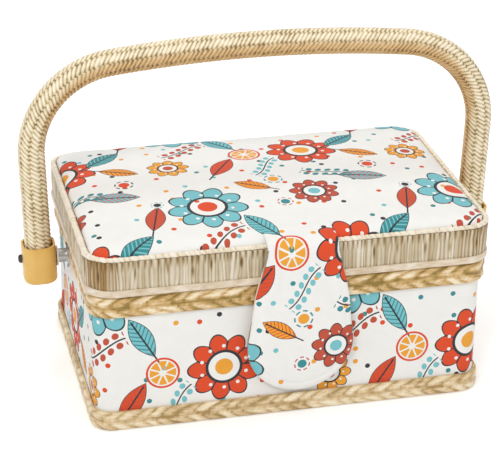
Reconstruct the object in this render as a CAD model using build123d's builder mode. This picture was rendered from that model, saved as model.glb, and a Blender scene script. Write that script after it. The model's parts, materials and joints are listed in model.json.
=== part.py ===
from build123d import *
from math import acos, asin, atan2, cos, degrees, hypot, radians, sin, tan
import os

# Cloth-covered sewing basket: a lined board box with a padded lid hinged along the back, a closing
# tab at the front, a lift-out tray and a cord-wound handle on two pivot bolts.
# Millimetres. +X runs along the box, -Y is its front, +Z is up. The origin is the middle of the
# underside.

# ---- driving dimensions ------------------------------------------------------------------------

# Box
base_width = 231.0
base_depth = 151.0
base_corner = 11.0
rim_height = 86.2
board_thickness = 3.0
cloth_thickness = 0.8
underside_thickness = 0.8
braid_thickness = 2.5
braid_bevel = 0.8
rim_braid_height = 13.0
foot_braid_height = 12.0
foot_braid_lift = 0.3

# Lid
lid_overhang = 4.5
lid_corner = 17.0
parting_gap = 0.8
binding_height = 4.4
binding_thickness = 3.2
binding_bevel = 1.1
band_height = 15.8
band_thickness = 2.8
piping_diameter = 4.2
pad_edge_rise = 3.2
crown_across_depth = 6.0
crown_across_width = 2.5
pad_edge_round = 3.4

# Closing tab
tab_offset = 3.5
tab_neck_width = 41.5
tab_round_width = 63.0
tab_foot_height = 16.8
tab_tilt = 2.0
tab_face_thickness = 3.0
tab_card_thickness = 1.2
tab_back_thickness = 0.8
tab_front_gap = 1.1
tab_root_length = 18.0
tab_root_thickness = 2.2
tab_root_setback = 1.6
tab_fold_gap = 0.3
tab_face_round = 1.4

# Magnetic snap that holds the tab
snap_height = 40.0
snap_diameter = 18.0
snap_thickness = 1.3
snap_gap = 0.4
snap_shank_radius = 1.5
snap_washer_diameter = 14.0
snap_washer_thickness = 0.6

# Handle
pivot_below_rim = 12.1
pivot_behind_middle = 8.0
handle_rise = 133.4
handle_standoff = 19.5
handle_corner_radius = 54.0
handle_crown_radius = 790.0
handle_lean = 1.8
cord_diameter = 16.4
core_diameter = 10.0
cord_end_above_pivot = 5.0
core_end_below_pivot = 8.0
ferrule_width = 20.0
ferrule_corner = 7.5
ferrule_drop = 14.5
ferrule_rise = 9.5
ferrule_wall = 1.3
ferrule_floor = 2.4
ferrule_round = 2.6

# Pivot hardware
bolt_radius = 1.6
bolt_head_radius = 4.2
bolt_head_thickness = 2.0
inner_washer_radius = 7.0
inner_washer_thickness = 0.9
wall_washer_radius = 7.5
wall_washer_thickness = 1.4
spacer_radius = 4.2
friction_washer_radius = 6.0
friction_washer_thickness = 0.9
pivot_cap_radius = 2.6
pivot_cap_height = 2.1

# Butt hinges along the back
hinge_spacing = 140.0
hinge_width = 30.0
leaf_thickness = 0.6
leaf_height = 14.0
leaf_gap = 0.2
knuckle_radius = 2.2
pin_radius = 1.1
knuckle_gap = 0.3
knuckle_lift = 2.1
rivet_radius = 1.2
rivet_head_radius = 2.4
rivet_head_thickness = 0.8
rivet_spacing = 18.0
rivet_drop = 8.0

# Tray and what it rests on
tray_height = 26.0
tray_wall = 1.6
tray_corner = 7.0
tray_cell_corner = 3.0
tray_below_rim = 2.0
tray_end_gap = 4.4
tray_side_gap = 1.9
tray_front_row = 54.0
tray_back_cells = 4
tray_grip_radius = 11.0
tray_grip_depth = 9.0
ledge_width = 9.0
ledge_height = 12.0
ledge_length = 110.0

# Fittings inside the lid
pincushion_width = 66.0
pincushion_depth = 48.0
pincushion_height = 13.0
pincushion_round = 9.0
pincushion_end_gap = 20.8
pincushion_y = 22.0
pocket_width = 92.0
pocket_depth = 60.0
pocket_thickness = 2.0
pocket_corner = 6.0
pocket_end_gap = 15.8
pocket_y = 30.0
elastic_diameter = 3.4

# Clearances
fit_clearance = 0.1
running_clearance = 0.08
seat_gap = 0.3

# ---- places worked out from the dimensions above -----------------------------------------------

board_width = base_width - 2 * cloth_thickness
board_depth = base_depth - 2 * cloth_thickness
board_corner = base_corner - cloth_thickness
inner_width = board_width - 2 * board_thickness
inner_depth = board_depth - 2 * board_thickness
inner_corner = board_corner - board_thickness
floor_top = underside_thickness + board_thickness
lined_width = inner_width - 2 * cloth_thickness
lined_depth = inner_depth - 2 * cloth_thickness
lined_corner = inner_corner - cloth_thickness
braid_width = base_width + 2 * braid_thickness
braid_depth = base_depth + 2 * braid_thickness
braid_corner = base_corner + braid_thickness

lid_width = base_width + 2 * lid_overhang
lid_depth = base_depth + 2 * lid_overhang
lid_bottom = rim_height + parting_gap
parting_level = rim_height + parting_gap / 2
band_bottom = lid_bottom + binding_height
band_top = band_bottom + band_height
piping_level = band_top + piping_diameter / 2
frame_width = lid_width - 2 * binding_thickness
frame_depth = lid_depth - 2 * binding_thickness
frame_corner = lid_corner - binding_thickness
band_width = frame_width + 2 * band_thickness
band_depth = frame_depth + 2 * band_thickness
band_corner = frame_corner + band_thickness
top_inset = piping_diameter
top_width = lid_width - 2 * top_inset
top_depth = lid_depth - 2 * top_inset
top_corner = lid_corner - top_inset
lid_board_top = piping_level
lid_board_bottom = lid_board_top - board_thickness
lid_inner_width = frame_width - 2 * board_thickness
lid_inner_depth = frame_depth - 2 * board_thickness
lid_inner_corner = frame_corner - board_thickness
pincushion_x = pincushion_end_gap + pincushion_width / 2 - lid_inner_width / 2
pocket_x = lid_inner_width / 2 - pocket_end_gap - pocket_width / 2
pad_peak = lid_board_top + pad_edge_rise + crown_across_depth

tab_thickness = tab_face_thickness + tab_card_thickness + tab_back_thickness
tab_axis_y = -(lid_depth / 2 + tab_front_gap + tab_thickness / 2)
tab_axis_z = piping_level
tab_drop = tab_axis_z - tab_foot_height

hinge_axis_y = lid_depth / 2 + knuckle_radius + knuckle_gap
hinge_axis_z = parting_level - leaf_gap / 2 - leaf_thickness + knuckle_lift

wall_face = base_width / 2
lined_face = lined_width / 2
spacer_start = braid_width / 2 + wall_washer_thickness

pivot_height = rim_height - pivot_below_rim
handle_half_span = braid_width / 2 + handle_standoff
handle_centre_top = pivot_height + handle_rise - cord_diameter / 2
crown_centre_z = handle_centre_top - handle_crown_radius
corner_centre_x = handle_half_span - handle_corner_radius
crown_half_angle = degrees(asin(corner_centre_x / (handle_crown_radius - handle_corner_radius)))
corner_centre_z = crown_centre_z + (handle_crown_radius - handle_corner_radius) * cos(
    radians(crown_half_angle))
leg_top_x = corner_centre_x + handle_corner_radius * cos(radians(handle_lean))
leg_top_z = corner_centre_z - handle_corner_radius * sin(radians(handle_lean))
pivot_x = leg_top_x - (leg_top_z - pivot_height) * tan(radians(handle_lean))
ferrule_inner_face = pivot_x - ferrule_width / 2
ferrule_outer_face = pivot_x + ferrule_width / 2
friction_washer_end = ferrule_inner_face - seat_gap
friction_washer_start = friction_washer_end - friction_washer_thickness
spacer_end = friction_washer_start - seat_gap

tray_width = lined_width - 2 * tray_end_gap
tray_depth = lined_depth - 2 * tray_side_gap
tray_top = rim_height - tray_below_rim
tray_bottom = tray_top - tray_height
ledge_top = tray_bottom - seat_gap


# ---- shared shapes -----------------------------------------------------------------------------

def ring_profile(width, depth, corner, wall):
    """A rounded rectangle with a hole of the same shape, so the wall is even all round."""
    RectangleRounded(width, depth, corner)
    RectangleRounded(width - 2 * wall, depth - 2 * wall, corner - wall, mode=Mode.SUBTRACT)


def across(radius, start, end, mode=Mode.ADD):
    """A round bar along X on the handle's pivot axis, on each side of the box."""
    for side in (-1, 1):
        place = (side * (start + end) / 2, pivot_behind_middle, pivot_height)
        with Locations(Location(place, (0, 90, 0))):
            Cylinder(radius, end - start, mode=mode)


def through_walls(radius):
    """The hole for a pivot bolt, through both ends of whatever ring it is cut in."""
    across(radius, 0, lid_width, mode=Mode.SUBTRACT)


def bar_along_y(radius, x, z, start, end, mode=Mode.ADD):
    """A round bar along Y."""
    with Locations(Location((x, (start + end) / 2, z), (90, 0, 0))):
        Cylinder(radius, abs(end - start), mode=mode)


def padded_dome(inset):
    """The lid's pillow-shaped top: crowned along both directions, round at its edge."""
    across_depth = top_depth / 2
    across_width = top_width / 2
    depth_radius = (across_depth ** 2 + crown_across_depth ** 2) / (2 * crown_across_depth)
    width_radius = (across_width ** 2 + crown_across_width ** 2) / (2 * crown_across_width)
    peak = pad_peak - inset
    turn_axis = Axis((0, 0, peak - depth_radius), (1, 0, 0))
    with BuildPart() as dome:
        with BuildSketch(Plane.XY.offset(lid_board_top)):
            RectangleRounded(top_width - 2 * inset, top_depth - 2 * inset, top_corner - inset)
        extrude(amount=peak - lid_board_top)
        with BuildSketch(Plane.XZ):
            with BuildLine():
                low = peak - depth_radius
                edge = peak - crown_across_width
                ThreePointArc((-across_width - 8, edge), (0, peak), (across_width + 8, edge))
                Line((across_width + 8, edge), (across_width + 8, low))
                Line((across_width + 8, low), (-across_width - 8, low))
                Line((-across_width - 8, low), (-across_width - 8, edge))
            make_face()
        revolve(axis=turn_axis, revolution_arc=360, mode=Mode.INTERSECT)
        fillet(dome.faces().sort_by(Axis.Z)[-1].edges(), pad_edge_round)
    return dome.part


def save(part, name):
    """Label a finished piece and write it to its own file."""
    part.label = name
    export_step(part, f"parts/{name}.step")


# ---- box ---------------------------------------------------------------------------------------

with BuildPart() as bottom_cover:
    with BuildSketch():
        RectangleRounded(board_width, board_depth, board_corner)
    extrude(amount=underside_thickness)
save(bottom_cover.part, "bottom_cover")

with BuildPart() as bottom_board:
    with BuildSketch(Plane.XY.offset(underside_thickness)):
        RectangleRounded(inner_width, inner_depth, inner_corner)
    extrude(amount=board_thickness)
save(bottom_board.part, "bottom_board")

hinge_places = [-hinge_spacing / 2, hinge_spacing / 2]
rivet_places = [
    hinge_x + side * rivet_spacing / 2
    for hinge_x in hinge_places
    for side in (-1, 1)
]
leaf_pocket_width = hinge_width + 2 * fit_clearance
base_leaf_outer = board_depth / 2
lid_leaf_outer = frame_depth / 2
base_leaf_top = parting_level - leaf_gap / 2
lid_leaf_bottom = parting_level + leaf_gap / 2
base_rivet_z = base_leaf_top - rivet_drop
lid_rivet_z = lid_leaf_bottom + rivet_drop


def leaf_pocket(outer, bottom, top):
    """The shallow recess that takes a hinge leaf, cut in a board's outer face at the back."""
    depth = leaf_thickness + fit_clearance
    for hinge_x in hinge_places:
        with Locations((hinge_x, outer - depth / 2, (bottom + top) / 2)):
            Box(leaf_pocket_width, depth, top - bottom, mode=Mode.SUBTRACT)


def leaf_notch(inner, outer, bottom, top):
    """The notch that lets a hinge leaf out over or under an edge at the back."""
    for hinge_x in hinge_places:
        with Locations((hinge_x, (inner + outer) / 2, (bottom + top) / 2)):
            Box(leaf_pocket_width, outer - inner, top - bottom, mode=Mode.SUBTRACT)


def rivet_holes(z, inner, outer):
    """Holes for the hinge rivets."""
    for x in rivet_places:
        bar_along_y(rivet_radius + fit_clearance, x, z, inner, outer, mode=Mode.SUBTRACT)


base_notch_bottom = base_leaf_top - leaf_thickness - fit_clearance
lid_notch_top = lid_leaf_bottom + leaf_thickness + fit_clearance

with BuildPart() as wall_board:
    with BuildSketch(Plane.XY.offset(underside_thickness)):
        ring_profile(board_width, board_depth, board_corner, board_thickness)
    extrude(amount=rim_height - underside_thickness)
    through_walls(bolt_radius + fit_clearance)
    leaf_pocket(base_leaf_outer, base_leaf_top - leaf_height - fit_clearance, rim_height)
    rivet_holes(base_rivet_z, 0, base_depth)
    bar_along_y(snap_shank_radius + fit_clearance, tab_offset, snap_height, 0, -base_depth,
                mode=Mode.SUBTRACT)
save(wall_board.part, "wall_board")

with BuildPart() as wall_cover:
    with BuildSketch(Plane.XY.offset(underside_thickness)):
        ring_profile(base_width, base_depth, base_corner, cloth_thickness)
    extrude(amount=rim_height - underside_thickness)
    through_walls(bolt_radius + fit_clearance)
    leaf_notch(board_depth / 2, base_depth / 2, base_notch_bottom, rim_height)
    bar_along_y(snap_shank_radius + fit_clearance, tab_offset, snap_height, 0, -base_depth,
                mode=Mode.SUBTRACT)
save(wall_cover.part, "wall_cover")

with BuildPart() as body_lining:
    with BuildSketch(Plane.XY.offset(floor_top)):
        RectangleRounded(inner_width, inner_depth, inner_corner)
    extrude(amount=rim_height - floor_top)
    with BuildSketch(Plane.XY.offset(floor_top + cloth_thickness)):
        RectangleRounded(lined_width, lined_depth, lined_corner)
    extrude(amount=rim_height, mode=Mode.SUBTRACT)
    through_walls(bolt_radius + fit_clearance)
    rivet_holes(base_rivet_z, 0, base_depth)
    bar_along_y(snap_shank_radius + fit_clearance, tab_offset, snap_height, 0, -base_depth,
                mode=Mode.SUBTRACT)
save(body_lining.part, "body_lining")

with BuildPart() as rim_braid:
    with BuildSketch(Plane.XY.offset(rim_height - rim_braid_height)):
        ring_profile(braid_width, braid_depth, braid_corner, braid_thickness)
    extrude(amount=rim_braid_height)
    chamfer(rim_braid.faces().sort_by(Axis.Z)[-1].outer_wire().edges(), braid_bevel)
    chamfer(rim_braid.faces().sort_by(Axis.Z)[0].outer_wire().edges(), braid_bevel)
    through_walls(bolt_radius + fit_clearance)
    leaf_notch(base_depth / 2, braid_depth / 2, base_notch_bottom, rim_height)
save(rim_braid.part, "rim_braid")

with BuildPart() as foot_braid:
    with BuildSketch(Plane.XY.offset(foot_braid_lift)):
        ring_profile(braid_width, braid_depth, braid_corner, braid_thickness)
    extrude(amount=foot_braid_height)
    chamfer(foot_braid.faces().sort_by(Axis.Z)[-1].outer_wire().edges(), braid_bevel)
    chamfer(foot_braid.faces().sort_by(Axis.Z)[0].outer_wire().edges(), braid_bevel)
save(foot_braid.part, "foot_braid")

with BuildPart() as tray_ledges:
    with BuildSketch(Plane.XY.offset(ledge_top - ledge_height)):
        with Locations(*[(side * (lined_width - ledge_width) / 2, 0) for side in (-1, 1)]):
            Rectangle(ledge_width, ledge_length)
    extrude(amount=ledge_height)
    fillet(tray_ledges.edges().filter_by(Axis.Y).group_by(Axis.Z)[-1].sort_by(
        lambda edge: abs(edge.center().X))[0:2], 1.5)
save(tray_ledges.part, "tray_ledges")

# ---- tray --------------------------------------------------------------------------------------

back_row_depth = tray_depth - tray_front_row - 3 * tray_wall
front_row_y = -tray_depth / 2 + tray_wall + tray_front_row / 2
back_row_y = tray_depth / 2 - tray_wall - back_row_depth / 2
cell_pitch = (tray_width - tray_wall) / tray_back_cells

with BuildPart() as tray:
    with BuildSketch(Plane.XY.offset(tray_bottom)):
        RectangleRounded(tray_width, tray_depth, tray_corner)
    extrude(amount=tray_height)
    fillet(tray.faces().sort_by(Axis.Z)[0].edges(), 1.2)
    with BuildSketch(Plane.XY.offset(tray_bottom + tray_wall)):
        with Locations((0, front_row_y)):
            RectangleRounded(tray_width - 2 * tray_wall, tray_front_row, tray_cell_corner)
        with Locations((0, back_row_y)):
            with GridLocations(cell_pitch, 0, tray_back_cells, 1):
                RectangleRounded(cell_pitch - tray_wall, back_row_depth, tray_cell_corner)
    extrude(amount=tray_height, mode=Mode.SUBTRACT)
    with Locations(Location((0, front_row_y, tray_top + tray_grip_radius - tray_grip_depth),
                            (0, 90, 0))):
        Cylinder(tray_grip_radius, tray_width + 2, mode=Mode.SUBTRACT)
save(tray.part, "tray")

# ---- pivot hardware ----------------------------------------------------------------------------

inner_washer_start = lined_face - inner_washer_thickness
bolt_head_end = inner_washer_start - fit_clearance
bolt_head_start = bolt_head_end - bolt_head_thickness
pivot_cap_start = ferrule_outer_face + seat_gap

with BuildPart() as pivot_bolts:
    across(bolt_head_radius, bolt_head_start, bolt_head_end)
    across(bolt_radius, bolt_head_end, pivot_cap_start + pivot_cap_height / 2)
save(pivot_bolts.part, "pivot_bolts")

with BuildPart() as inner_washers:
    across(inner_washer_radius, inner_washer_start, lined_face)
    across(bolt_radius + fit_clearance, inner_washer_start, lined_face, mode=Mode.SUBTRACT)
save(inner_washers.part, "inner_washers")

with BuildPart() as wall_washers:
    across(wall_washer_radius, braid_width / 2, spacer_start)
    across(bolt_radius + fit_clearance, braid_width / 2, spacer_start, mode=Mode.SUBTRACT)
save(wall_washers.part, "wall_washers")

with BuildPart() as spacer_sleeves:
    across(spacer_radius, spacer_start, spacer_end)
    across(bolt_radius + fit_clearance, spacer_start, spacer_end, mode=Mode.SUBTRACT)
save(spacer_sleeves.part, "spacer_sleeves")

with BuildPart() as pivot_caps:
    across(pivot_cap_radius, pivot_cap_start, pivot_cap_start + pivot_cap_height)
    outer_rims = pivot_caps.edges().filter_by(GeomType.CIRCLE).sort_by(
        lambda edge: abs(edge.center().X))[-2:]
    fillet(outer_rims, pivot_cap_height * 0.7)
    across(bolt_radius, pivot_cap_start, pivot_cap_start + pivot_cap_height / 2,
           mode=Mode.SUBTRACT)
save(pivot_caps.part, "pivot_caps")

with BuildPart() as friction_washers:
    across(friction_washer_radius, friction_washer_start, friction_washer_end)
    across(bolt_radius + running_clearance, friction_washer_start, friction_washer_end,
           mode=Mode.SUBTRACT)
save(friction_washers.part, "friction_washers")

# ---- handle ------------------------------------------------------------------------------------


def arch_path(foot_z):
    """The handle's centre line: two leaning legs, two round corners and a slightly bowed top."""
    foot_x = leg_top_x - (leg_top_z - foot_z) * tan(radians(handle_lean))
    corner_turn = 90 - crown_half_angle + handle_lean
    Line((foot_x, foot_z), (leg_top_x, leg_top_z))
    CenterArc((corner_centre_x, corner_centre_z), handle_corner_radius, -handle_lean,
              corner_turn)
    CenterArc((0, crown_centre_z), handle_crown_radius, 90 - crown_half_angle,
              2 * crown_half_angle)
    CenterArc((-corner_centre_x, corner_centre_z), handle_corner_radius,
              90 + crown_half_angle, corner_turn)
    Line((-leg_top_x, leg_top_z), (-foot_x, foot_z))


handle_plane = Plane.XZ.offset(-pivot_behind_middle)
core_foot = pivot_height - core_end_below_pivot
cord_foot = pivot_height + cord_end_above_pivot

with BuildPart() as handle_core:
    with BuildLine(handle_plane) as core_line:
        arch_path(core_foot)
    with BuildSketch(Plane(origin=core_line.line @ 0, z_dir=core_line.line % 0)):
        Circle(core_diameter / 2)
    sweep(path=core_line.line)
    across(bolt_radius + running_clearance, pivot_x - cord_diameter, pivot_x + cord_diameter,
           mode=Mode.SUBTRACT)
save(handle_core.part, "handle_core")

with BuildPart() as handle_winding:
    with BuildLine(handle_plane) as cord_line:
        arch_path(cord_foot)
    with BuildSketch(Plane(origin=cord_line.line @ 0, z_dir=cord_line.line % 0)):
        Circle(cord_diameter / 2)
        Circle(core_diameter / 2, mode=Mode.SUBTRACT)
    sweep(path=cord_line.line)
save(handle_winding.part, "handle_winding")

for side, side_name in ((-1, "left"), (1, "right")):
    leg_direction = (side * sin(radians(handle_lean)), 0, cos(radians(handle_lean)))
    leg_plane = Plane(origin=(side * pivot_x, pivot_behind_middle, pivot_height),
                      x_dir=(0, 1, 0), z_dir=leg_direction)
    with BuildPart() as ferrule:
        with BuildSketch(leg_plane.offset(-ferrule_drop)):
            RectangleRounded(ferrule_width, ferrule_width, ferrule_corner)
        extrude(amount=ferrule_drop + ferrule_rise)
        fillet(ferrule.faces().sort_by(Axis.Z)[0].edges(), ferrule_round)
        with BuildSketch(leg_plane.offset(ferrule_floor - ferrule_drop)):
            cavity_width = ferrule_width - 2 * ferrule_wall
            RectangleRounded(cavity_width, cavity_width, ferrule_corner - ferrule_wall)
        extrude(amount=ferrule_drop + ferrule_rise, mode=Mode.SUBTRACT)
        across(bolt_radius + running_clearance, ferrule_inner_face - 2, ferrule_outer_face + 2,
               mode=Mode.SUBTRACT)
    save(ferrule.part, f"ferrule_{side_name}")

# ---- hinges ------------------------------------------------------------------------------------

knuckle_width = (hinge_width - 2 * knuckle_gap) / 3


def hinge_leaf(outer, bottom, top, strip_bottom, bore, knuckles):
    """Two hinge leaves: a plate let into the board, a strip out through the parting line and the
    knuckles on the hinge axis."""
    strip_top = strip_bottom + leaf_thickness
    for hinge_x in hinge_places:
        with Locations((hinge_x, outer - leaf_thickness / 2, (bottom + top) / 2)):
            Box(hinge_width, leaf_thickness, top - bottom)
        for place in knuckles:
            knuckle_x = hinge_x + place * (knuckle_width + knuckle_gap)
            with Locations((knuckle_x, (outer + hinge_axis_y) / 2 - leaf_thickness / 2,
                            (strip_bottom + strip_top) / 2)):
                Box(knuckle_width, hinge_axis_y - outer + leaf_thickness, leaf_thickness)
            with Locations(Location((knuckle_x, hinge_axis_y, hinge_axis_z), (0, 90, 0))):
                Cylinder(knuckle_radius, knuckle_width)
                Cylinder(bore, knuckle_width, mode=Mode.SUBTRACT)


with BuildPart() as base_leaves:
    hinge_leaf(base_leaf_outer, base_leaf_top - leaf_height, base_leaf_top,
               base_leaf_top - leaf_thickness, pin_radius, (-1, 1))
    rivet_holes(base_rivet_z, lined_depth / 2, base_depth / 2)
save(base_leaves.part, "base_leaves")

with BuildPart() as lid_leaves:
    hinge_leaf(lid_leaf_outer, lid_leaf_bottom, lid_leaf_bottom + leaf_height,
               lid_leaf_bottom, pin_radius + running_clearance, (0,))
    rivet_holes(lid_rivet_z, lid_inner_depth / 2, frame_depth / 2)
save(lid_leaves.part, "lid_leaves")

with BuildPart() as hinge_pins:
    for hinge_x in hinge_places:
        with Locations(Location((hinge_x, hinge_axis_y, hinge_axis_z), (0, 90, 0))):
            Cylinder(pin_radius, hinge_width)
save(hinge_pins.part, "hinge_pins")


def hinge_rivets(z, plate_outer, lined):
    """Rivets from the leaf's face through the board and lining, with a flat head inside."""
    for x in rivet_places:
        bar_along_y(rivet_radius, x, z, lined, plate_outer)
        bar_along_y(rivet_head_radius, x, z, lined - rivet_head_thickness, lined)


with BuildPart() as base_rivets:
    hinge_rivets(base_rivet_z, base_leaf_outer, lined_depth / 2)
save(base_rivets.part, "base_rivets")

lid_lined_depth = lid_inner_depth - 2 * cloth_thickness

with BuildPart() as lid_rivets:
    hinge_rivets(lid_rivet_z, lid_leaf_outer, lid_lined_depth / 2)
save(lid_rivets.part, "lid_rivets")

# ---- lid ---------------------------------------------------------------------------------------

with BuildPart() as lid_frame:
    with BuildSketch(Plane.XY.offset(lid_bottom)):
        ring_profile(frame_width, frame_depth, frame_corner, board_thickness)
    extrude(amount=lid_board_bottom - lid_bottom)
    leaf_pocket(lid_leaf_outer, lid_bottom, lid_leaf_bottom + leaf_height + fit_clearance)
    rivet_holes(lid_rivet_z, 0, lid_depth)
save(lid_frame.part, "lid_frame")

with BuildPart() as lid_board:
    with BuildSketch(Plane.XY.offset(lid_board_bottom)):
        RectangleRounded(top_width, top_depth, top_corner)
    extrude(amount=board_thickness)
save(lid_board.part, "lid_board")

with BuildPart() as lid_pad:
    add(padded_dome(cloth_thickness))
save(lid_pad.part, "lid_pad")

with BuildPart() as lid_cover:
    add(padded_dome(0))
    add(padded_dome(cloth_thickness), mode=Mode.SUBTRACT)
save(lid_cover.part, "lid_cover")

with BuildPart() as lid_binding:
    with BuildSketch(Plane.XY.offset(lid_bottom)):
        ring_profile(lid_width, lid_depth, lid_corner, binding_thickness)
    extrude(amount=binding_height)
    chamfer(lid_binding.faces().sort_by(Axis.Z)[-1].outer_wire().edges(), binding_bevel)
    chamfer(lid_binding.faces().sort_by(Axis.Z)[0].outer_wire().edges(), binding_bevel)
    leaf_notch(frame_depth / 2, lid_depth / 2, lid_bottom, lid_notch_top)
save(lid_binding.part, "lid_binding")

with BuildPart() as lid_band:
    with BuildSketch(Plane.XY.offset(band_bottom)):
        ring_profile(band_width, band_depth, band_corner, band_thickness)
    extrude(amount=band_height)
save(lid_band.part, "lid_band")

with BuildPart() as lid_piping:
    with BuildSketch(Plane.XY.offset(piping_level), mode=Mode.PRIVATE) as piping_loop:
        RectangleRounded(lid_width - piping_diameter, lid_depth - piping_diameter,
                         lid_corner - piping_diameter / 2)
    piping_line = piping_loop.sketch.face().outer_wire()
    with BuildSketch(Plane(origin=piping_line @ 0, z_dir=piping_line % 0)):
        Circle(piping_diameter / 2)
    sweep(path=piping_line)
save(lid_piping.part, "lid_piping")

with BuildPart() as lid_lining:
    with BuildSketch(Plane.XY.offset(lid_bottom)):
        RectangleRounded(lid_inner_width, lid_inner_depth, lid_inner_corner)
    extrude(amount=lid_board_bottom - lid_bottom)
    with BuildSketch(Plane.XY.offset(lid_bottom)):
        RectangleRounded(lid_inner_width - 2 * cloth_thickness, lid_lined_depth,
                         lid_inner_corner - cloth_thickness)
    extrude(amount=lid_board_bottom - lid_bottom - cloth_thickness, mode=Mode.SUBTRACT)
    rivet_holes(lid_rivet_z, 0, lid_depth)
save(lid_lining.part, "lid_lining")

lid_ceiling = lid_board_bottom - cloth_thickness

with BuildPart() as pincushion:
    with BuildSketch(Plane.XY.offset(lid_ceiling)):
        with Locations((pincushion_x, pincushion_y)):
            RectangleRounded(pincushion_width, pincushion_depth, pincushion_depth / 3)
    extrude(amount=-pincushion_height)
    fillet(pincushion.faces().sort_by(Axis.Z)[0].edges(), pincushion_round)
save(pincushion.part, "pincushion")

pocket_front = pocket_y - pocket_depth / 2
with BuildPart() as pocket:
    with BuildSketch(Plane.XY.offset(lid_ceiling)):
        with Locations((pocket_x, pocket_y)):
            RectangleRounded(pocket_width, pocket_depth, pocket_corner)
    extrude(amount=-pocket_thickness)
save(pocket.part, "pocket")

with BuildPart() as pocket_elastic:
    with Locations(Location((pocket_x, pocket_front - elastic_diameter / 2,
                             lid_ceiling - elastic_diameter / 2), (0, 90, 0))):
        Cylinder(elastic_diameter / 2, pocket_width - 2 * pocket_corner)
save(pocket_elastic.part, "pocket_elastic")

# ---- closing tab -------------------------------------------------------------------------------

root_front = tab_axis_y + tab_root_setback
root_back = -lid_depth / 2 + tab_root_length
root_crest = piping_level + piping_diameter / 2 + tab_root_thickness
root_crest_y = -lid_depth / 2 + piping_diameter / 2
root_back_low = lid_board_top + pad_edge_rise
root_back_top = pad_peak - crown_across_depth * (root_back / (top_depth / 2)) ** 2 \
    + tab_root_thickness

# The sewn-down strip stops just behind the fold, so that the tab's thick top edge turns clear of it.
with BuildPart() as tab_root:
    with BuildSketch(Plane.YZ.offset(tab_offset)):
        with BuildLine():
            Line((root_front, tab_axis_z), (root_front, root_crest - tab_root_thickness / 2))
            Line((root_front, root_crest - tab_root_thickness / 2), (root_crest_y, root_crest))
            Line((root_crest_y, root_crest), (root_back, root_back_top))
            Line((root_back, root_back_top), (root_back, root_back_low))
            Line((root_back, root_back_low), (root_front, tab_axis_z))
        make_face()
    extrude(amount=tab_neck_width / 2, both=True)
    add(padded_dome(0), mode=Mode.SUBTRACT)
    add(lid_piping.part, mode=Mode.SUBTRACT)
    with Locations(Location((tab_offset, tab_axis_y, tab_axis_z), (0, 90, 0))):
        Cylinder(tab_thickness / 2 + tab_fold_gap, lid_width, mode=Mode.SUBTRACT)
save(tab_root.part, "tab_root")

round_radius = tab_round_width / 2
round_centre = tab_drop - round_radius
neck_half = tab_neck_width / 2
neck_reach = hypot(neck_half, round_centre)
tangent_angle = atan2(round_centre, neck_half) - acos(round_radius / neck_reach)
tangent_u = round_radius * cos(tangent_angle)
tangent_v = -round_centre + round_radius * sin(tangent_angle)
tilt = radians(tab_tilt)
# On this plane u runs along +X, v runs up the tab and its normal points forward.
tab_plane = Plane(origin=(tab_offset, tab_axis_y, tab_axis_z), x_dir=(1, 0, 0),
                  z_dir=(0, -cos(tilt), -sin(tilt)))


def tab_outline():
    """The tab's bell shape: a narrow neck, straight flaring sides and a round end."""
    Line((-neck_half, 0), (neck_half, 0))
    Line((neck_half, 0), (tangent_u, tangent_v))
    ThreePointArc((tangent_u, tangent_v), (0, -tab_drop), (-tangent_u, tangent_v))
    Line((-tangent_u, tangent_v), (-neck_half, 0))


tab_back_start = -tab_thickness / 2
tab_card_start = tab_back_start + tab_back_thickness
tab_face_start = tab_card_start + tab_card_thickness
snap_drop = (tab_axis_z - snap_height) / cos(tilt)

with BuildPart() as tab_face:
    with BuildSketch(tab_plane.offset(tab_face_start)):
        with BuildLine():
            tab_outline()
        make_face()
    extrude(amount=tab_face_thickness)
    front_edges = tab_face.faces().sort_by(Axis.Y)[0].edges().sort_by(Axis.Z)[0:3]
    fillet(front_edges, tab_face_round)
save(tab_face.part, "tab_face")

with BuildPart() as tab_card:
    with BuildSketch(tab_plane.offset(tab_card_start)):
        with BuildLine():
            tab_outline()
        make_face()
    extrude(amount=tab_card_thickness)
save(tab_card.part, "tab_card")

with BuildPart() as tab_back:
    with BuildSketch(tab_plane.offset(tab_back_start)):
        with BuildLine():
            tab_outline()
        make_face()
    extrude(amount=tab_back_thickness)
save(tab_back.part, "tab_back")

with BuildPart() as snap_stud:
    with BuildSketch(tab_plane.offset(tab_back_start)):
        with Locations((0, -snap_drop)):
            Circle(snap_diameter / 2)
    extrude(amount=-snap_thickness)
    fillet(snap_stud.faces().sort_by(Axis.Y)[-1].edges(), snap_thickness * 0.3)
save(snap_stud.part, "snap_stud")

# The socket's face lies parallel to the stud's, a small gap away, on a foot that meets the wall.
with BuildPart() as snap_socket:
    with BuildSketch(tab_plane.offset(tab_back_start - snap_thickness - snap_gap)):
        with Locations((0, -snap_drop)):
            Circle(snap_diameter / 2)
    extrude(amount=-2 * snap_thickness - tab_thickness)
    with Locations((tab_offset, -base_depth / 2 + lid_depth / 2, snap_height)):
        Box(2 * snap_diameter, lid_depth, 2 * snap_diameter, mode=Mode.SUBTRACT)
    bar_along_y(snap_shank_radius, tab_offset, snap_height, -base_depth / 2,
                -lined_depth / 2 + snap_washer_thickness)
save(snap_socket.part, "snap_socket")

with BuildPart() as snap_washer:
    bar_along_y(snap_washer_diameter / 2, tab_offset, snap_height, -lined_depth / 2,
                -lined_depth / 2 + snap_washer_thickness)
    bar_along_y(snap_shank_radius + fit_clearance, tab_offset, snap_height, -lined_depth / 2,
                -lined_depth / 2 + snap_washer_thickness, mode=Mode.SUBTRACT)
save(snap_washer.part, "snap_washer")

print("handle pivot z", pivot_height)
print("hinge axis y, z", hinge_axis_y, hinge_axis_z)
print("tab axis x, y, z", tab_offset, tab_axis_y, tab_axis_z)
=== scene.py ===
import json
import math

import bmesh
import bpy
import numpy as np
from mathutils import Matrix, Vector


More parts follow.
